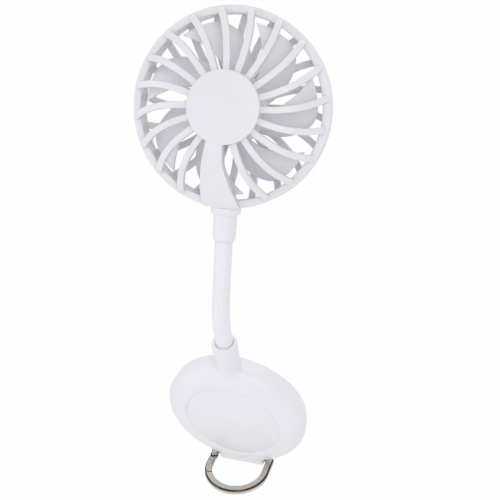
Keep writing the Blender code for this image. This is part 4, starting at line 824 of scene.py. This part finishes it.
ring_frames = [axes((1, 0, 0), (0, 1, 0), (RING_MID, 0, RING_REACH * i / 4))
               for i in range(4)]
for i in range(65):
    turn = math.pi * i / 64
    out = (math.cos(turn), 0, math.sin(turn))
    ring_frames.append(axes(out, (0, 1, 0),
                            (RING_MID * out[0], 0,
                             RING_REACH + RING_MID * out[2])))
ring_frames += [axes((-1, 0, 0), (0, 1, 0), (-RING_MID, 0,
                                             RING_REACH * (3 - i) / 4))
                for i in range(4)]
ring_profile = soft_oblong(RING_HALF_WIDTH, -RING_HALF_HEIGHT,
                           RING_HALF_HEIGHT, RING_ROUNDINGS)
ring = follow(stick("snap_ring", ring_profile, len(ring_frames)), ring_frames)
gate = copied(ring, "snap_gate")
carve(ring, zone(GATE_SPOT[2], GATE_NOSE + 0.00015))
for side in (1, -1):
    eye = ringed("eye", [(EYE_RADIUS, -EYE_HALF_WIDTH),
                         (EYE_RADIUS, EYE_HALF_WIDTH)], 48)
    eye.rotation_euler = (0, math.radians(90), 0)
    eye.location = (side * RING_MID, 0, 0)
    carve(ring, settle(eye), "UNION")
carve(ring, across_peg(EYE_RADIUS, 0.0012, GATE_SPOT, 48), "UNION")
bar = ringed("bar", [(BAR_RADIUS, -RING_MID), (BAR_RADIUS, RING_MID)], 40)
bar.rotation_euler = (0, math.radians(90), 0)
carve(ring, settle(bar), "UNION")
apply_modifier(ring, "REMESH", mode="VOXEL", voxel_size=RING_VOXEL,
               use_smooth_shade=True)
apply_modifier(ring, "SMOOTH", factor=0.5, iterations=7)
carve(ring, zone(GATE_SPOT[2] - FORK_BACK, GATE_SPOT[2] + FORK_AHEAD,
                 FORK_SLOT))
carve(ring, across_peg(GATE_PIN_RADIUS + GATE_PIN_EASE, PEG_REACH, GATE_SPOT))
dress(ring, RING_PIVOT, 40, nickel.material,
      "stand_ring", "nickel", "stand_ring")

# Gate and pin: the gate is a cast arc of the same section with a thin tongue.
# A steel pin, flush with the ring's faces, holds it in the fork.
carve(gate, zone(GATE_SPOT[2], GATE_NOSE - 0.0003), "INTERSECT")
carve(gate, across_peg(0.00175, PEG_REACH, GATE_SPOT, 48))
apply_modifier(gate, "REMESH", mode="VOXEL", voxel_size=RING_VOXEL,
               use_smooth_shade=True)
apply_modifier(gate, "SMOOTH", factor=0.5, iterations=5)
carve(gate, across_peg(TONGUE_RADIUS, TONGUE_THICKNESS / 2, GATE_SPOT, 48),
      "UNION")
tail = rounded_box("tail", (TONGUE_RADIUS, TONGUE_THICKNESS, TONGUE_TAIL),
                   (GATE_SPOT[0], 0, GATE_SPOT[2] + TONGUE_TAIL / 2), 0)
carve(gate, tail, "UNION")
carve(gate, across_peg(GATE_PIN_RADIUS + GATE_PIN_EASE, PEG_REACH, GATE_SPOT))
dress(gate, RING_PIVOT, 40, nickel.material, "ring_gate", "nickel", "ring_gate")

pin = ringed("snap_gate_pin", [(0.00038, -RING_HALF_HEIGHT),
                               (GATE_PIN_RADIUS, -0.00132),
                               (GATE_PIN_RADIUS, 0.00132),
                               (0.00038, RING_HALF_HEIGHT)], 40)
pin.rotation_euler = (math.radians(90), 0, 0)
pin.location = GATE_SPOT
settle(pin)
dress(pin, RING_PIVOT, 32, steel.material, "stand_ring", "steel", "gate_pin")

# Neck: a smooth white silicone sleeve over the jointed core, in seven stretches.
# Each stretch is cut in the middle between two joints and runs over one joint.
NECK_RADIUS = 0.00355
SLEEVE_BORE = 0.00275
NECK_JOINTS = 7
NECK_INSERT = 0.0040
NECK_ROWS = 21
FERRULE_INSERT = 0.0020

sleeve = Finish("white_sleeve", (0.80, 0.80, 0.81), 0.46)
sleeve_cloud = sleeve.ramp(sleeve.noise(90.0, 3.0), 0.3, 0.7)
sleeve.set("Base Color", sleeve.mix(sleeve_cloud, (0.785, 0.785, 0.80, 1),
                                    (0.81, 0.81, 0.825, 1)))
sleeve.set("Roughness", sleeve_cloud * 0.10 + 0.41)
sleeve.set("Normal", sleeve.bump(sleeve.noise(1800.0, 2.0), 0.10, 0.00005))
sleeve.set("Sheen Weight", 0.15)


def neck_frame(length):
    """A frame square to the neck at a length along it."""
    along = neck_way(min(1, max(0, length / NECK_LENGTH)))
    right = Vector((1, 0, 0)) - along * along.x
    right.normalize()
    up = along.cross(right)
    return axes(right, up, neck_spot(length))


def tube_ring(outer, sides=64):
    """A round profile."""
    return [(outer * math.cos(math.tau * i / sides),
             outer * math.sin(math.tau * i / sides)) for i in range(sides)]


for number in range(1, NECK_JOINTS + 1):
    first = NECK_LENGTH * (number - 1) / NECK_JOINTS
    last = NECK_LENGTH * number / NECK_JOINTS
    start = -NECK_INSERT if number == 1 else first
    end = last + FERRULE_INSERT if number == NECK_JOINTS else last
    lengths = [start + (end - start) * i / (NECK_ROWS - 1)
               for i in range(NECK_ROWS)]
    stretch = stick("neck_stretch_%d" % number, tube_ring(NECK_RADIUS),
                    NECK_ROWS)
    follow(stretch, [neck_frame(length) for length in lengths])
    inside = stick("neck_bore", tube_ring(SLEEVE_BORE, 40), NECK_ROWS + 2)
    lengths = [start - 0.001] + lengths + [end + 0.001]
    follow(inside, [neck_frame(length) for length in lengths])
    carve(stretch, inside)
    smooth_over(stretch, 40)
    stretch.data.materials.append(sleeve.material)
    middle = (first + last) / 2
    reach = NECK_LENGTH / NECK_JOINTS / 2
    tuple(neck_spot(middle - reach))
    tuple(neck_spot(middle + reach))
    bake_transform(stretch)
    if number == 1:
        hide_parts("neck_sleeve_0", "neck_sleeve_1")
    else:
        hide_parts("neck_sleeve_%d" % number)

# Collar: one white moulding that steps out to a flange under the head's drum.
# It takes the neck's end in its bore, and a screw from inside the drum holds it.
COLLAR_RADIUS = 0.0047
FLANGE_RADIUS = 0.0060
FLANGE_HEIGHT = 0.0030
FLANGE_CHAMFER = 0.0009
COLLAR_TAPER = 0.0018
SLEEVE_SOCKET = 0.0023
CORE_HOLE = 0.0022
CORE_SOCKET = 0.0078
CLAMP_HOLE = 0.0012

foot = -FERRULE_LENGTH
collar = ringed("neck_collar", [
    (NECK_RADIUS + 0.0004, foot), (NECK_RADIUS + 0.0006, foot + 0.0001),
    (COLLAR_RADIUS - 0.0001, foot + COLLAR_TAPER - 0.0002),
    (COLLAR_RADIUS, foot + COLLAR_TAPER + 0.0002),
    (COLLAR_RADIUS, -FLANGE_HEIGHT - 0.0002),
    (COLLAR_RADIUS + 0.0002, -FLANGE_HEIGHT),
    (FLANGE_RADIUS - 0.0010, -FLANGE_HEIGHT),
    (FLANGE_RADIUS - 0.0001, -FLANGE_HEIGHT + FLANGE_CHAMFER),
    (FLANGE_RADIUS, -FLANGE_HEIGHT + 0.0012), (FLANGE_RADIUS, 0.003)], 96)
drum_space = ringed("drum_space", [(DRUM_RADIUS + 0.00003, -0.02),
                                   (DRUM_RADIUS + 0.00003, 0.02)], 256)
drum_space.rotation_euler = (math.radians(90), 0, 0)
drum_space.location = (0, 0, DRUM_RADIUS)
carve(collar, settle(drum_space))
collar_bore = ringed("collar_bore", [
    (NECK_RADIUS + PIECE_GAP, foot - 0.001),
    (NECK_RADIUS + PIECE_GAP, foot + SLEEVE_SOCKET),
    (CORE_HOLE, foot + SLEEVE_SOCKET), (CORE_HOLE, foot + CORE_SOCKET),
    (CLAMP_HOLE, foot + CORE_SOCKET), (CLAMP_HOLE, 0.004)], 64)
carve(collar, collar_bore)
dress(collar, HEAD @ Matrix.Translation((0, 0, -DRUM_RADIUS)), 32, white_plastic,
      "fan_head", "housing", "neck_ferrule")

# Rear cage: a white moulding of a shallow drum half, a hub cup and swept spokes.
# The spokes stand a little proud of the rim; two make way for the flat strut.
DRUM_DEPTH = 0.0083
RIM_RADIUS = 0.0361
DRUM_WALL = 0.0030
SPOKE_COUNT = 20
SPOKE_WIDTH = 0.0026
SPOKE_DEEP = 0.0026
SPOKE_START = math.radians(-0.1)
SPOKE_SWEEP = math.radians(-9.1)
SPOKE_RIM = 0.0059
SPOKE_DROP = 0.00185
SPOKE_POWER = 2.5
SPOKE_ROWS = 28
SPOKE_END_BACK = 0.0009
SPOKE_END_LENGTH = 0.0012
SPOKE_END_FALL = 0.0016
HUB_RADIUS = 0.0141
HUB_FACE = 0.01735
HUB_WALL = 0.0013
HUB_DEEP = 0.0072
COVER_THICKNESS = 0.0014
CLAMP_HEAD_HOLE = 0.0025
CLAMP_SEAT = 0.0375
PEG_ANGLES = (0, 120, 240)
STRUT_INNER = 0.01285
STRUT_OUTER = DRUM_RADIUS
STRUT_DROP = 0.0114
STRUT_POWER = 1.7
STRUT_ROWS = 24
STRUT_DEEP = 0.0034
CHANNEL_DEEP = 0.0038
CHANNEL_WIDTH_SHARE = 0.45
CHANNEL_LENGTH_SHARE = 0.95
STRUT_LEFT = (-0.00565, -0.00744, -0.00845, -0.00835)
STRUT_RIGHT = (0.00079, 0.00073, 0.00337, 0.00690)

cage_plastic = moulded_plastic("cage_plastic", (0.775, 0.775, 0.793),
                               (0.755, 0.755, 0.773), 0.34)


def bearing(angle, radius, height):
    """A place at a clock angle from the top, seen from the rear."""
    return Vector((radius * math.sin(angle), radius * math.cos(angle), height))


def spoke_frames(number, start, sweep, hub_radius, hub_height, side):
    """Frames down a spoke, from inside the hub's wall to the rim's edge."""
    inner = hub_radius - HUB_WALL / 2
    outer = DRUM_RADIUS - SPOKE_END_BACK

    def spot(share):
        radius = inner + (outer - inner) * share
        height = hub_height + (SPOKE_RIM - hub_height) * max(0, share) ** SPOKE_POWER
        past = radius - (outer - SPOKE_END_LENGTH)
        edge = min(1, max(0, past) / SPOKE_END_LENGTH)
        height -= SPOKE_END_FALL * (1 - math.sqrt(1 - edge * edge))
        turn = start + math.tau * number / SPOKE_COUNT + sweep * share * share
        return bearing(turn, radius, side * height)

    frames = []
    for i in range(SPOKE_ROWS):
        share = 1 - (1 - i / (SPOKE_ROWS - 1)) ** 1.5
        along = spot(share + 0.002) - spot(share - 0.002)
        across = Vector((along.y, -along.x, 0)).normalized()
        frames.append(axes(across, (0, 0, side), spot(share)))
    return frames


def peg_tool(angle):
    """A tool for the pegs that line up the two halves."""
    tool = ringed("peg_tool", [(0.0010, -0.0023), (0.0010, 0.0023)], 24)
    tool.location = bearing(math.radians(angle), DRUM_RADIUS - DRUM_WALL / 2, 0)
    return settle(tool)


def clamp_tool():
    """A stepped tool for the screw through the bottom of the drum."""
    tool = ringed("clamp_tool", [(CLAMP_HOLE, -0.044), (CLAMP_HOLE, -CLAMP_SEAT),
                                 (CLAMP_HEAD_HOLE, -CLAMP_SEAT),
                                 (CLAMP_HEAD_HOLE, -0.020)], 40)
    tool.rotation_euler = (math.radians(-90), 0, 0)
    return settle(tool)


def drum_half(name, side):
    """A half of the drum's wall, on the rear (1) or the front (-1)."""
    return ringed(name, [(radius, side * height) for radius, height in [
        (DRUM_RADIUS - 0.00012, 0.00015), (DRUM_RADIUS, 0.0003),
        (DRUM_RADIUS, DRUM_DEPTH / 2 - 0.0004),
        (DRUM_RADIUS - 0.0001, DRUM_DEPTH / 2 - 0.00015),
        (DRUM_RADIUS - 0.0004, DRUM_DEPTH / 2),
        (RIM_RADIUS + 0.0003, DRUM_DEPTH / 2),
        (RIM_RADIUS, DRUM_DEPTH / 2 - 0.0003),
        (DRUM_RADIUS - DRUM_WALL, 0.00015)]], 200, True)


def finish_cage(cage, node):
    """Open a cage for the clamp's screw and the pegs, and set it on the axle."""
    carve(cage, clamp_tool())
    for angle in PEG_ANGLES:
        carve(cage, peg_tool(angle))
    dress(cage, AXLE, 30, cage_plastic, "fan_head", "cage", node)


def strut_side(edges, share):
    """Where a side of the strut lies at a share of its way to the rim."""
    place = min(2.999, max(0.0, share * 3))
    low = int(place)
    return edges[low] + (edges[low + 1] - edges[low]) * (place - low)


def strut_frames(lift, grow=1.0, reach=1.0):
    """Frames down the strut; a profile of half width one is stretched."""
    frames = []
    for i in range(STRUT_ROWS):
        share = reach * i / (STRUT_ROWS - 1)
        left = strut_side(STRUT_LEFT, share)
        right = strut_side(STRUT_RIGHT, share)
        down = STRUT_INNER + (STRUT_OUTER - STRUT_INNER) * share
        top = HUB_FACE - STRUT_DROP * share ** STRUT_POWER + lift
        frames.append(axes(((right - left) / 2 * grow, 0, 0), (0, 0, 1),
                           ((left + right) / 2, -down, top)))
    return frames


def merge(name, pieces):
    """Join separate pieces into one object."""
    bpy.ops.object.select_all(action="DESELECT")
    for piece in pieces:
        piece.select_set(True)
    bpy.context.view_layer.objects.active = pieces[0]
    bpy.ops.object.join()
    pieces[0].name = name
    return pieces[0]


rear_cage = drum_half("rear_cage", 1)
hub_floor = HUB_FACE - COVER_THICKNESS - PIECE_GAP
hub_base = hub_floor - HUB_WALL
hub = ringed("rear_hub", [(0.0093, hub_base), (0.0093, hub_base - 0.0030),
                          (0.0105, hub_base - 0.0030), (0.0105, hub_base),
                          (HUB_RADIUS - HUB_WALL, hub_base),
                          (HUB_RADIUS - HUB_WALL, HUB_FACE - HUB_DEEP),
                          (HUB_RADIUS - 0.0003, HUB_FACE - HUB_DEEP),
                          (HUB_RADIUS, HUB_FACE - HUB_DEEP + 0.0003),
                          (HUB_RADIUS, hub_floor)], 128)
spoke_profile = soft_oblong(SPOKE_WIDTH / 2, -SPOKE_DEEP, 0,
                            (0.0004, 0.0004, 0.0002, 0.0002), 4)
blank_spoke = stick("spoke", spoke_profile, SPOKE_ROWS)
spokes = []
for number in range(SPOKE_COUNT):
    if number not in (10, 11):
        spoke = copied(blank_spoke, "spoke_%d" % number)
        spokes.append(follow(spoke, spoke_frames(
            number, SPOKE_START, SPOKE_SWEEP, HUB_RADIUS,
            HUB_FACE - SPOKE_DROP, 1)))
carve(rear_cage, hub, "UNION")
carve(rear_cage, merge("rear_spokes", spokes), "UNION")
strut_profile = [(-1, 0), (-1, -STRUT_DEEP), (1, -STRUT_DEEP), (1, 0)]
strut = follow(stick("strut_core", strut_profile, STRUT_ROWS),
               strut_frames(-COVER_THICKNESS - 0.00012))
strut_bound = ringed("strut_bound", [(DRUM_RADIUS - 0.0002, 0),
                                     (DRUM_RADIUS - 0.0002, 0.03)], 200)
carve(strut, strut_bound, "INTERSECT")
carve(rear_cage, strut, "UNION")
channel_profile = [(-1, 0.0001), (-1, -CHANNEL_DEEP), (1, -CHANNEL_DEEP),
                   (1, 0.0001)]
channel = follow(stick("channel", channel_profile, STRUT_ROWS),
                 strut_frames(0, CHANNEL_WIDTH_SHARE, CHANNEL_LENGTH_SHARE))
carve(rear_cage, channel)
finish_cage(rear_cage, "rear_grille")

# Hub cover: one flat white moulding, a disc that runs on into the broad strut.
# It is clipped over the hub and the wire's channel, its edge lightly rounded.
COVER_END = 0.03915

disc_points = []
first_turn = math.pi - math.asin(STRUT_RIGHT[0] / HUB_RADIUS)
last_turn = -math.pi - math.asin(STRUT_LEFT[0] / HUB_RADIUS)
for i in range(121):
    turn = first_turn + (last_turn - first_turn) * i / 120
    disc_points.append((HUB_RADIUS * math.sin(turn),
                        HUB_RADIUS * math.cos(turn)))
left_side, right_side = [], []
for i in range(1, STRUT_ROWS + 1):
    down = STRUT_INNER + (STRUT_OUTER - STRUT_INNER) * i / STRUT_ROWS
    for side, edges in ((left_side, STRUT_LEFT), (right_side, STRUT_RIGHT)):
        across = strut_side(edges, i / STRUT_ROWS)
        if HUB_RADIUS + 0.0004 < math.hypot(across, down) < COVER_END - 0.0004:
            side.append((across, -down))
left_turn = math.asin(left_side[-1][0] / COVER_END)
right_turn = math.asin(right_side[-1][0] / COVER_END) + 0.006
foot_arc = []
for i in range(21):
    turn = left_turn + (right_turn - left_turn) * i / 20
    foot_arc.append((COVER_END * math.sin(turn), -COVER_END * math.cos(turn)))
disc_points += left_side + foot_arc + right_side[::-1]
cover = stick("hub_cover", disc_points, 2)
tidy_select(cover)
bpy.ops.object.mode_set(mode="EDIT")
for i in range(1, STRUT_ROWS):
    down = STRUT_INNER + (STRUT_OUTER - STRUT_INNER) * i / STRUT_ROWS
    bpy.ops.mesh.select_all(action="SELECT")
    bpy.ops.mesh.bisect(plane_co=(0, -down, 0), plane_no=(0, 1, 0))
bpy.ops.mesh.select_all(action="SELECT")
bpy.ops.mesh.normals_make_consistent(inside=False)
bpy.ops.object.mode_set(mode="OBJECT")
for vertex in cover.data.vertices:
    vertex.co.z = (vertex.co.z - 1) * COVER_THICKNESS + HUB_FACE
apply_modifier(cover, "BEVEL", width=0.00045, segments=4,
               limit_method="ANGLE", angle_limit=math.radians(60))
for vertex in cover.data.vertices:
    share = max(0, -vertex.co.y - STRUT_INNER) / (STRUT_OUTER - STRUT_INNER)
    vertex.co.z -= STRUT_DROP * share ** STRUT_POWER
dress(cover, AXLE, 25, cage_plastic, "fan_head", "cage", "spine_cover")

# Front cage: the other drum half with its own spokes and a small flat hub.
# A thin plain cap is pressed into the hub's recess.
FRONT_HUB_RADIUS = 0.0115
FRONT_FACE = 0.01195
FRONT_SPOKE_START = math.radians(-4.4)
FRONT_SPOKE_DROP = 0.0016
CAP_RADIUS = 0.0090
CAP_THICKNESS = 0.0009

front_cage = drum_half("front_cage", -1)
cap_floor = CAP_THICKNESS + PIECE_GAP - FRONT_FACE
front_hub = ringed("front_hub", [(FRONT_HUB_RADIUS, cap_floor + HUB_WALL),
                                 (FRONT_HUB_RADIUS, 0.0003 - FRONT_FACE),
                                 (FRONT_HUB_RADIUS - 0.0003, -FRONT_FACE),
                                 (CAP_RADIUS + PIECE_GAP, -FRONT_FACE),
                                 (CAP_RADIUS + PIECE_GAP, cap_floor)], 128)
spokes = []
for number in range(SPOKE_COUNT):
    spoke = copied(blank_spoke, "front_spoke_%d" % number)
    spokes.append(follow(spoke, spoke_frames(
        number, FRONT_SPOKE_START, -SPOKE_SWEEP, FRONT_HUB_RADIUS,
        FRONT_FACE - FRONT_SPOKE_DROP, -1)))
bpy.data.objects.remove(blank_spoke, do_unlink=True)
carve(front_cage, front_hub, "UNION")
carve(front_cage, merge("front_spokes", spokes), "UNION")
finish_cage(front_cage, "front_grille")

cap = ringed("plain_cap", [(CAP_RADIUS, CAP_THICKNESS - FRONT_FACE),
                           (CAP_RADIUS, 0.0003 - FRONT_FACE),
                           (CAP_RADIUS - 0.0001, 0.0001 - FRONT_FACE),
                           (CAP_RADIUS - 0.0003, -FRONT_FACE)], 128)
dress(cap, AXLE, 32, cage_plastic, "fan_head", "cage", "front_cap")

# Rotor: a grey-white moulding of seven swept blades on a cup that hides the motor.
# It is pressed on the motor's shaft.
ROTOR_RADIUS = 0.0141
ROTOR_WALL = 0.0012
ROTOR_FRONT = 0.0062
ROTOR_BACK = 0.0092
BLADE_COUNT = 7
BLADE_TIP = 0.0338
BLADE_THICKNESS = 0.0010
BLADE_TIP_ANGLE = math.radians(29.8)
BLADE_TIP_HALF = math.radians(16.5)
BLADE_ROOT_HALF = math.radians(18.0)
BLADE_SWEEP = math.radians(30.5)
BLADE_ROOT_RISE = 0.0044
BLADE_TIP_RISE = 0.0026
BLADE_TRIM_SHARE = 0.07
SHAFT_HOLE = 0.0012
SHAFT_SLEEVE = 0.0026
SHAFT_SLEEVE_LENGTH = 0.0040

rotor_plastic = moulded_plastic("rotor_plastic", (0.82, 0.82, 0.835),
                                (0.76, 0.76, 0.78), 0.40)

bpy.ops.object.select_all(action="DESELECT")
bpy.ops.mesh.primitive_grid_add(x_subdivisions=26, y_subdivisions=26, size=1)
blade = bpy.context.active_object
blade.name = "blade"
for vertex in blade.data.vertices:
    out = vertex.co.y + 0.5
    chord = vertex.co.x * 2
    inner = ROTOR_RADIUS - ROTOR_WALL / 2
    radius = inner + (BLADE_TIP - inner) * out
    middle = BLADE_TIP_ANGLE + BLADE_SWEEP * (1 - out)
    half = BLADE_ROOT_HALF + (BLADE_TIP_HALF - BLADE_ROOT_HALF) * out
    rise = BLADE_ROOT_RISE + (BLADE_TIP_RISE - BLADE_ROOT_RISE) * out
    trim = 1 - BLADE_TRIM_SHARE * out ** 4 * max(0, chord) ** 3
    vertex.co = bearing(middle + half * chord, radius * trim,
                        -rise * chord + BLADE_THICKNESS * (1 - chord * chord))
apply_modifier(blade, "SOLIDIFY", thickness=BLADE_THICKNESS, offset=0)
apply_modifier(blade, "BEVEL", width=0.00030, segments=3,
               limit_method="ANGLE", angle_limit=math.radians(60))
blades = [face_out(blade)]
for number in range(1, BLADE_COUNT):
    twin = copied(blade, "blade_%d" % number)
    blades.append(settle(twin, Matrix.Rotation(
        -math.tau * number / BLADE_COUNT, 4, "Z")))
rotor_inside = ROTOR_WALL - ROTOR_FRONT
cup_space = ringed("cup_space", [(ROTOR_RADIUS - ROTOR_WALL, rotor_inside),
                                 (ROTOR_RADIUS - ROTOR_WALL, 0.02)], 96)
blades = carve(merge("blades", blades), cup_space)
rotor = ringed("rotor", [(SHAFT_HOLE, -ROTOR_FRONT),
                         (SHAFT_HOLE, rotor_inside + SHAFT_SLEEVE_LENGTH),
                         (SHAFT_SLEEVE, rotor_inside + SHAFT_SLEEVE_LENGTH),
                         (SHAFT_SLEEVE, rotor_inside),
                         (ROTOR_RADIUS - ROTOR_WALL, rotor_inside),
                         (ROTOR_RADIUS - ROTOR_WALL, ROTOR_BACK),
                         (ROTOR_RADIUS, ROTOR_BACK),
                         (ROTOR_RADIUS, 0.0010 - ROTOR_FRONT),
                         (ROTOR_RADIUS - 0.0003, 0.0003 - ROTOR_FRONT),
                         (ROTOR_RADIUS - 0.0010, -ROTOR_FRONT)], 128, True)
carve(rotor, blades, "UNION")
dress(rotor, AXLE, 35, rotor_plastic, "impeller", "rotor", "impeller")

# What is hidden inside keeps the frame's own shapes, with better finishes.
# Metal parts are steel, the cell is foil, the board is lacquered.
magnet = Finish("plated_magnet", (0.42, 0.42, 0.44), 0.35, 1.0)
magnet.set("Roughness", magnet.noise(300.0, 3.0) * 0.25 + 0.25)
cell = Finish("cell_foil", (0.45, 0.46, 0.50), 0.42, 0.6)
cell.set("Normal", cell.bump(cell.noise(160.0, 3.0), 0.2, 0.0002))
cell.set("Roughness", cell.noise(220.0) * 0.2 + 0.32)
board = Finish("board_lacquer", (0.02, 0.17, 0.07), 0.35)
board.set("Base Color", board.mix(board.ramp(board.noise(420.0), 0.45, 0.55),
                                  (0.015, 0.15, 0.06, 1),
                                  (0.03, 0.22, 0.10, 1)))
hidden = {
    steel.material: ["cover_screw_0", "cover_screw_1", "cover_screw_2",
                     "cover_screw_3", "neck_anchor", "clamp_screw",
                     "motor_can", "motor_shaft"]
    + ["neck_core_%d" % number for number in range(8)],
    magnet.material: ["magnet_ring"],
    cell.material: ["battery_cell"],
    board.material: ["circuit_board"],
    black_plastic.material: ["button_switch", "motor_lead"],
    cage_plastic: ["rim_peg_0", "rim_peg_1", "rim_peg_2"],
}
for finish, names in hidden.items():
    for name in names:
        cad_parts[name].material_slots[0].material = finish
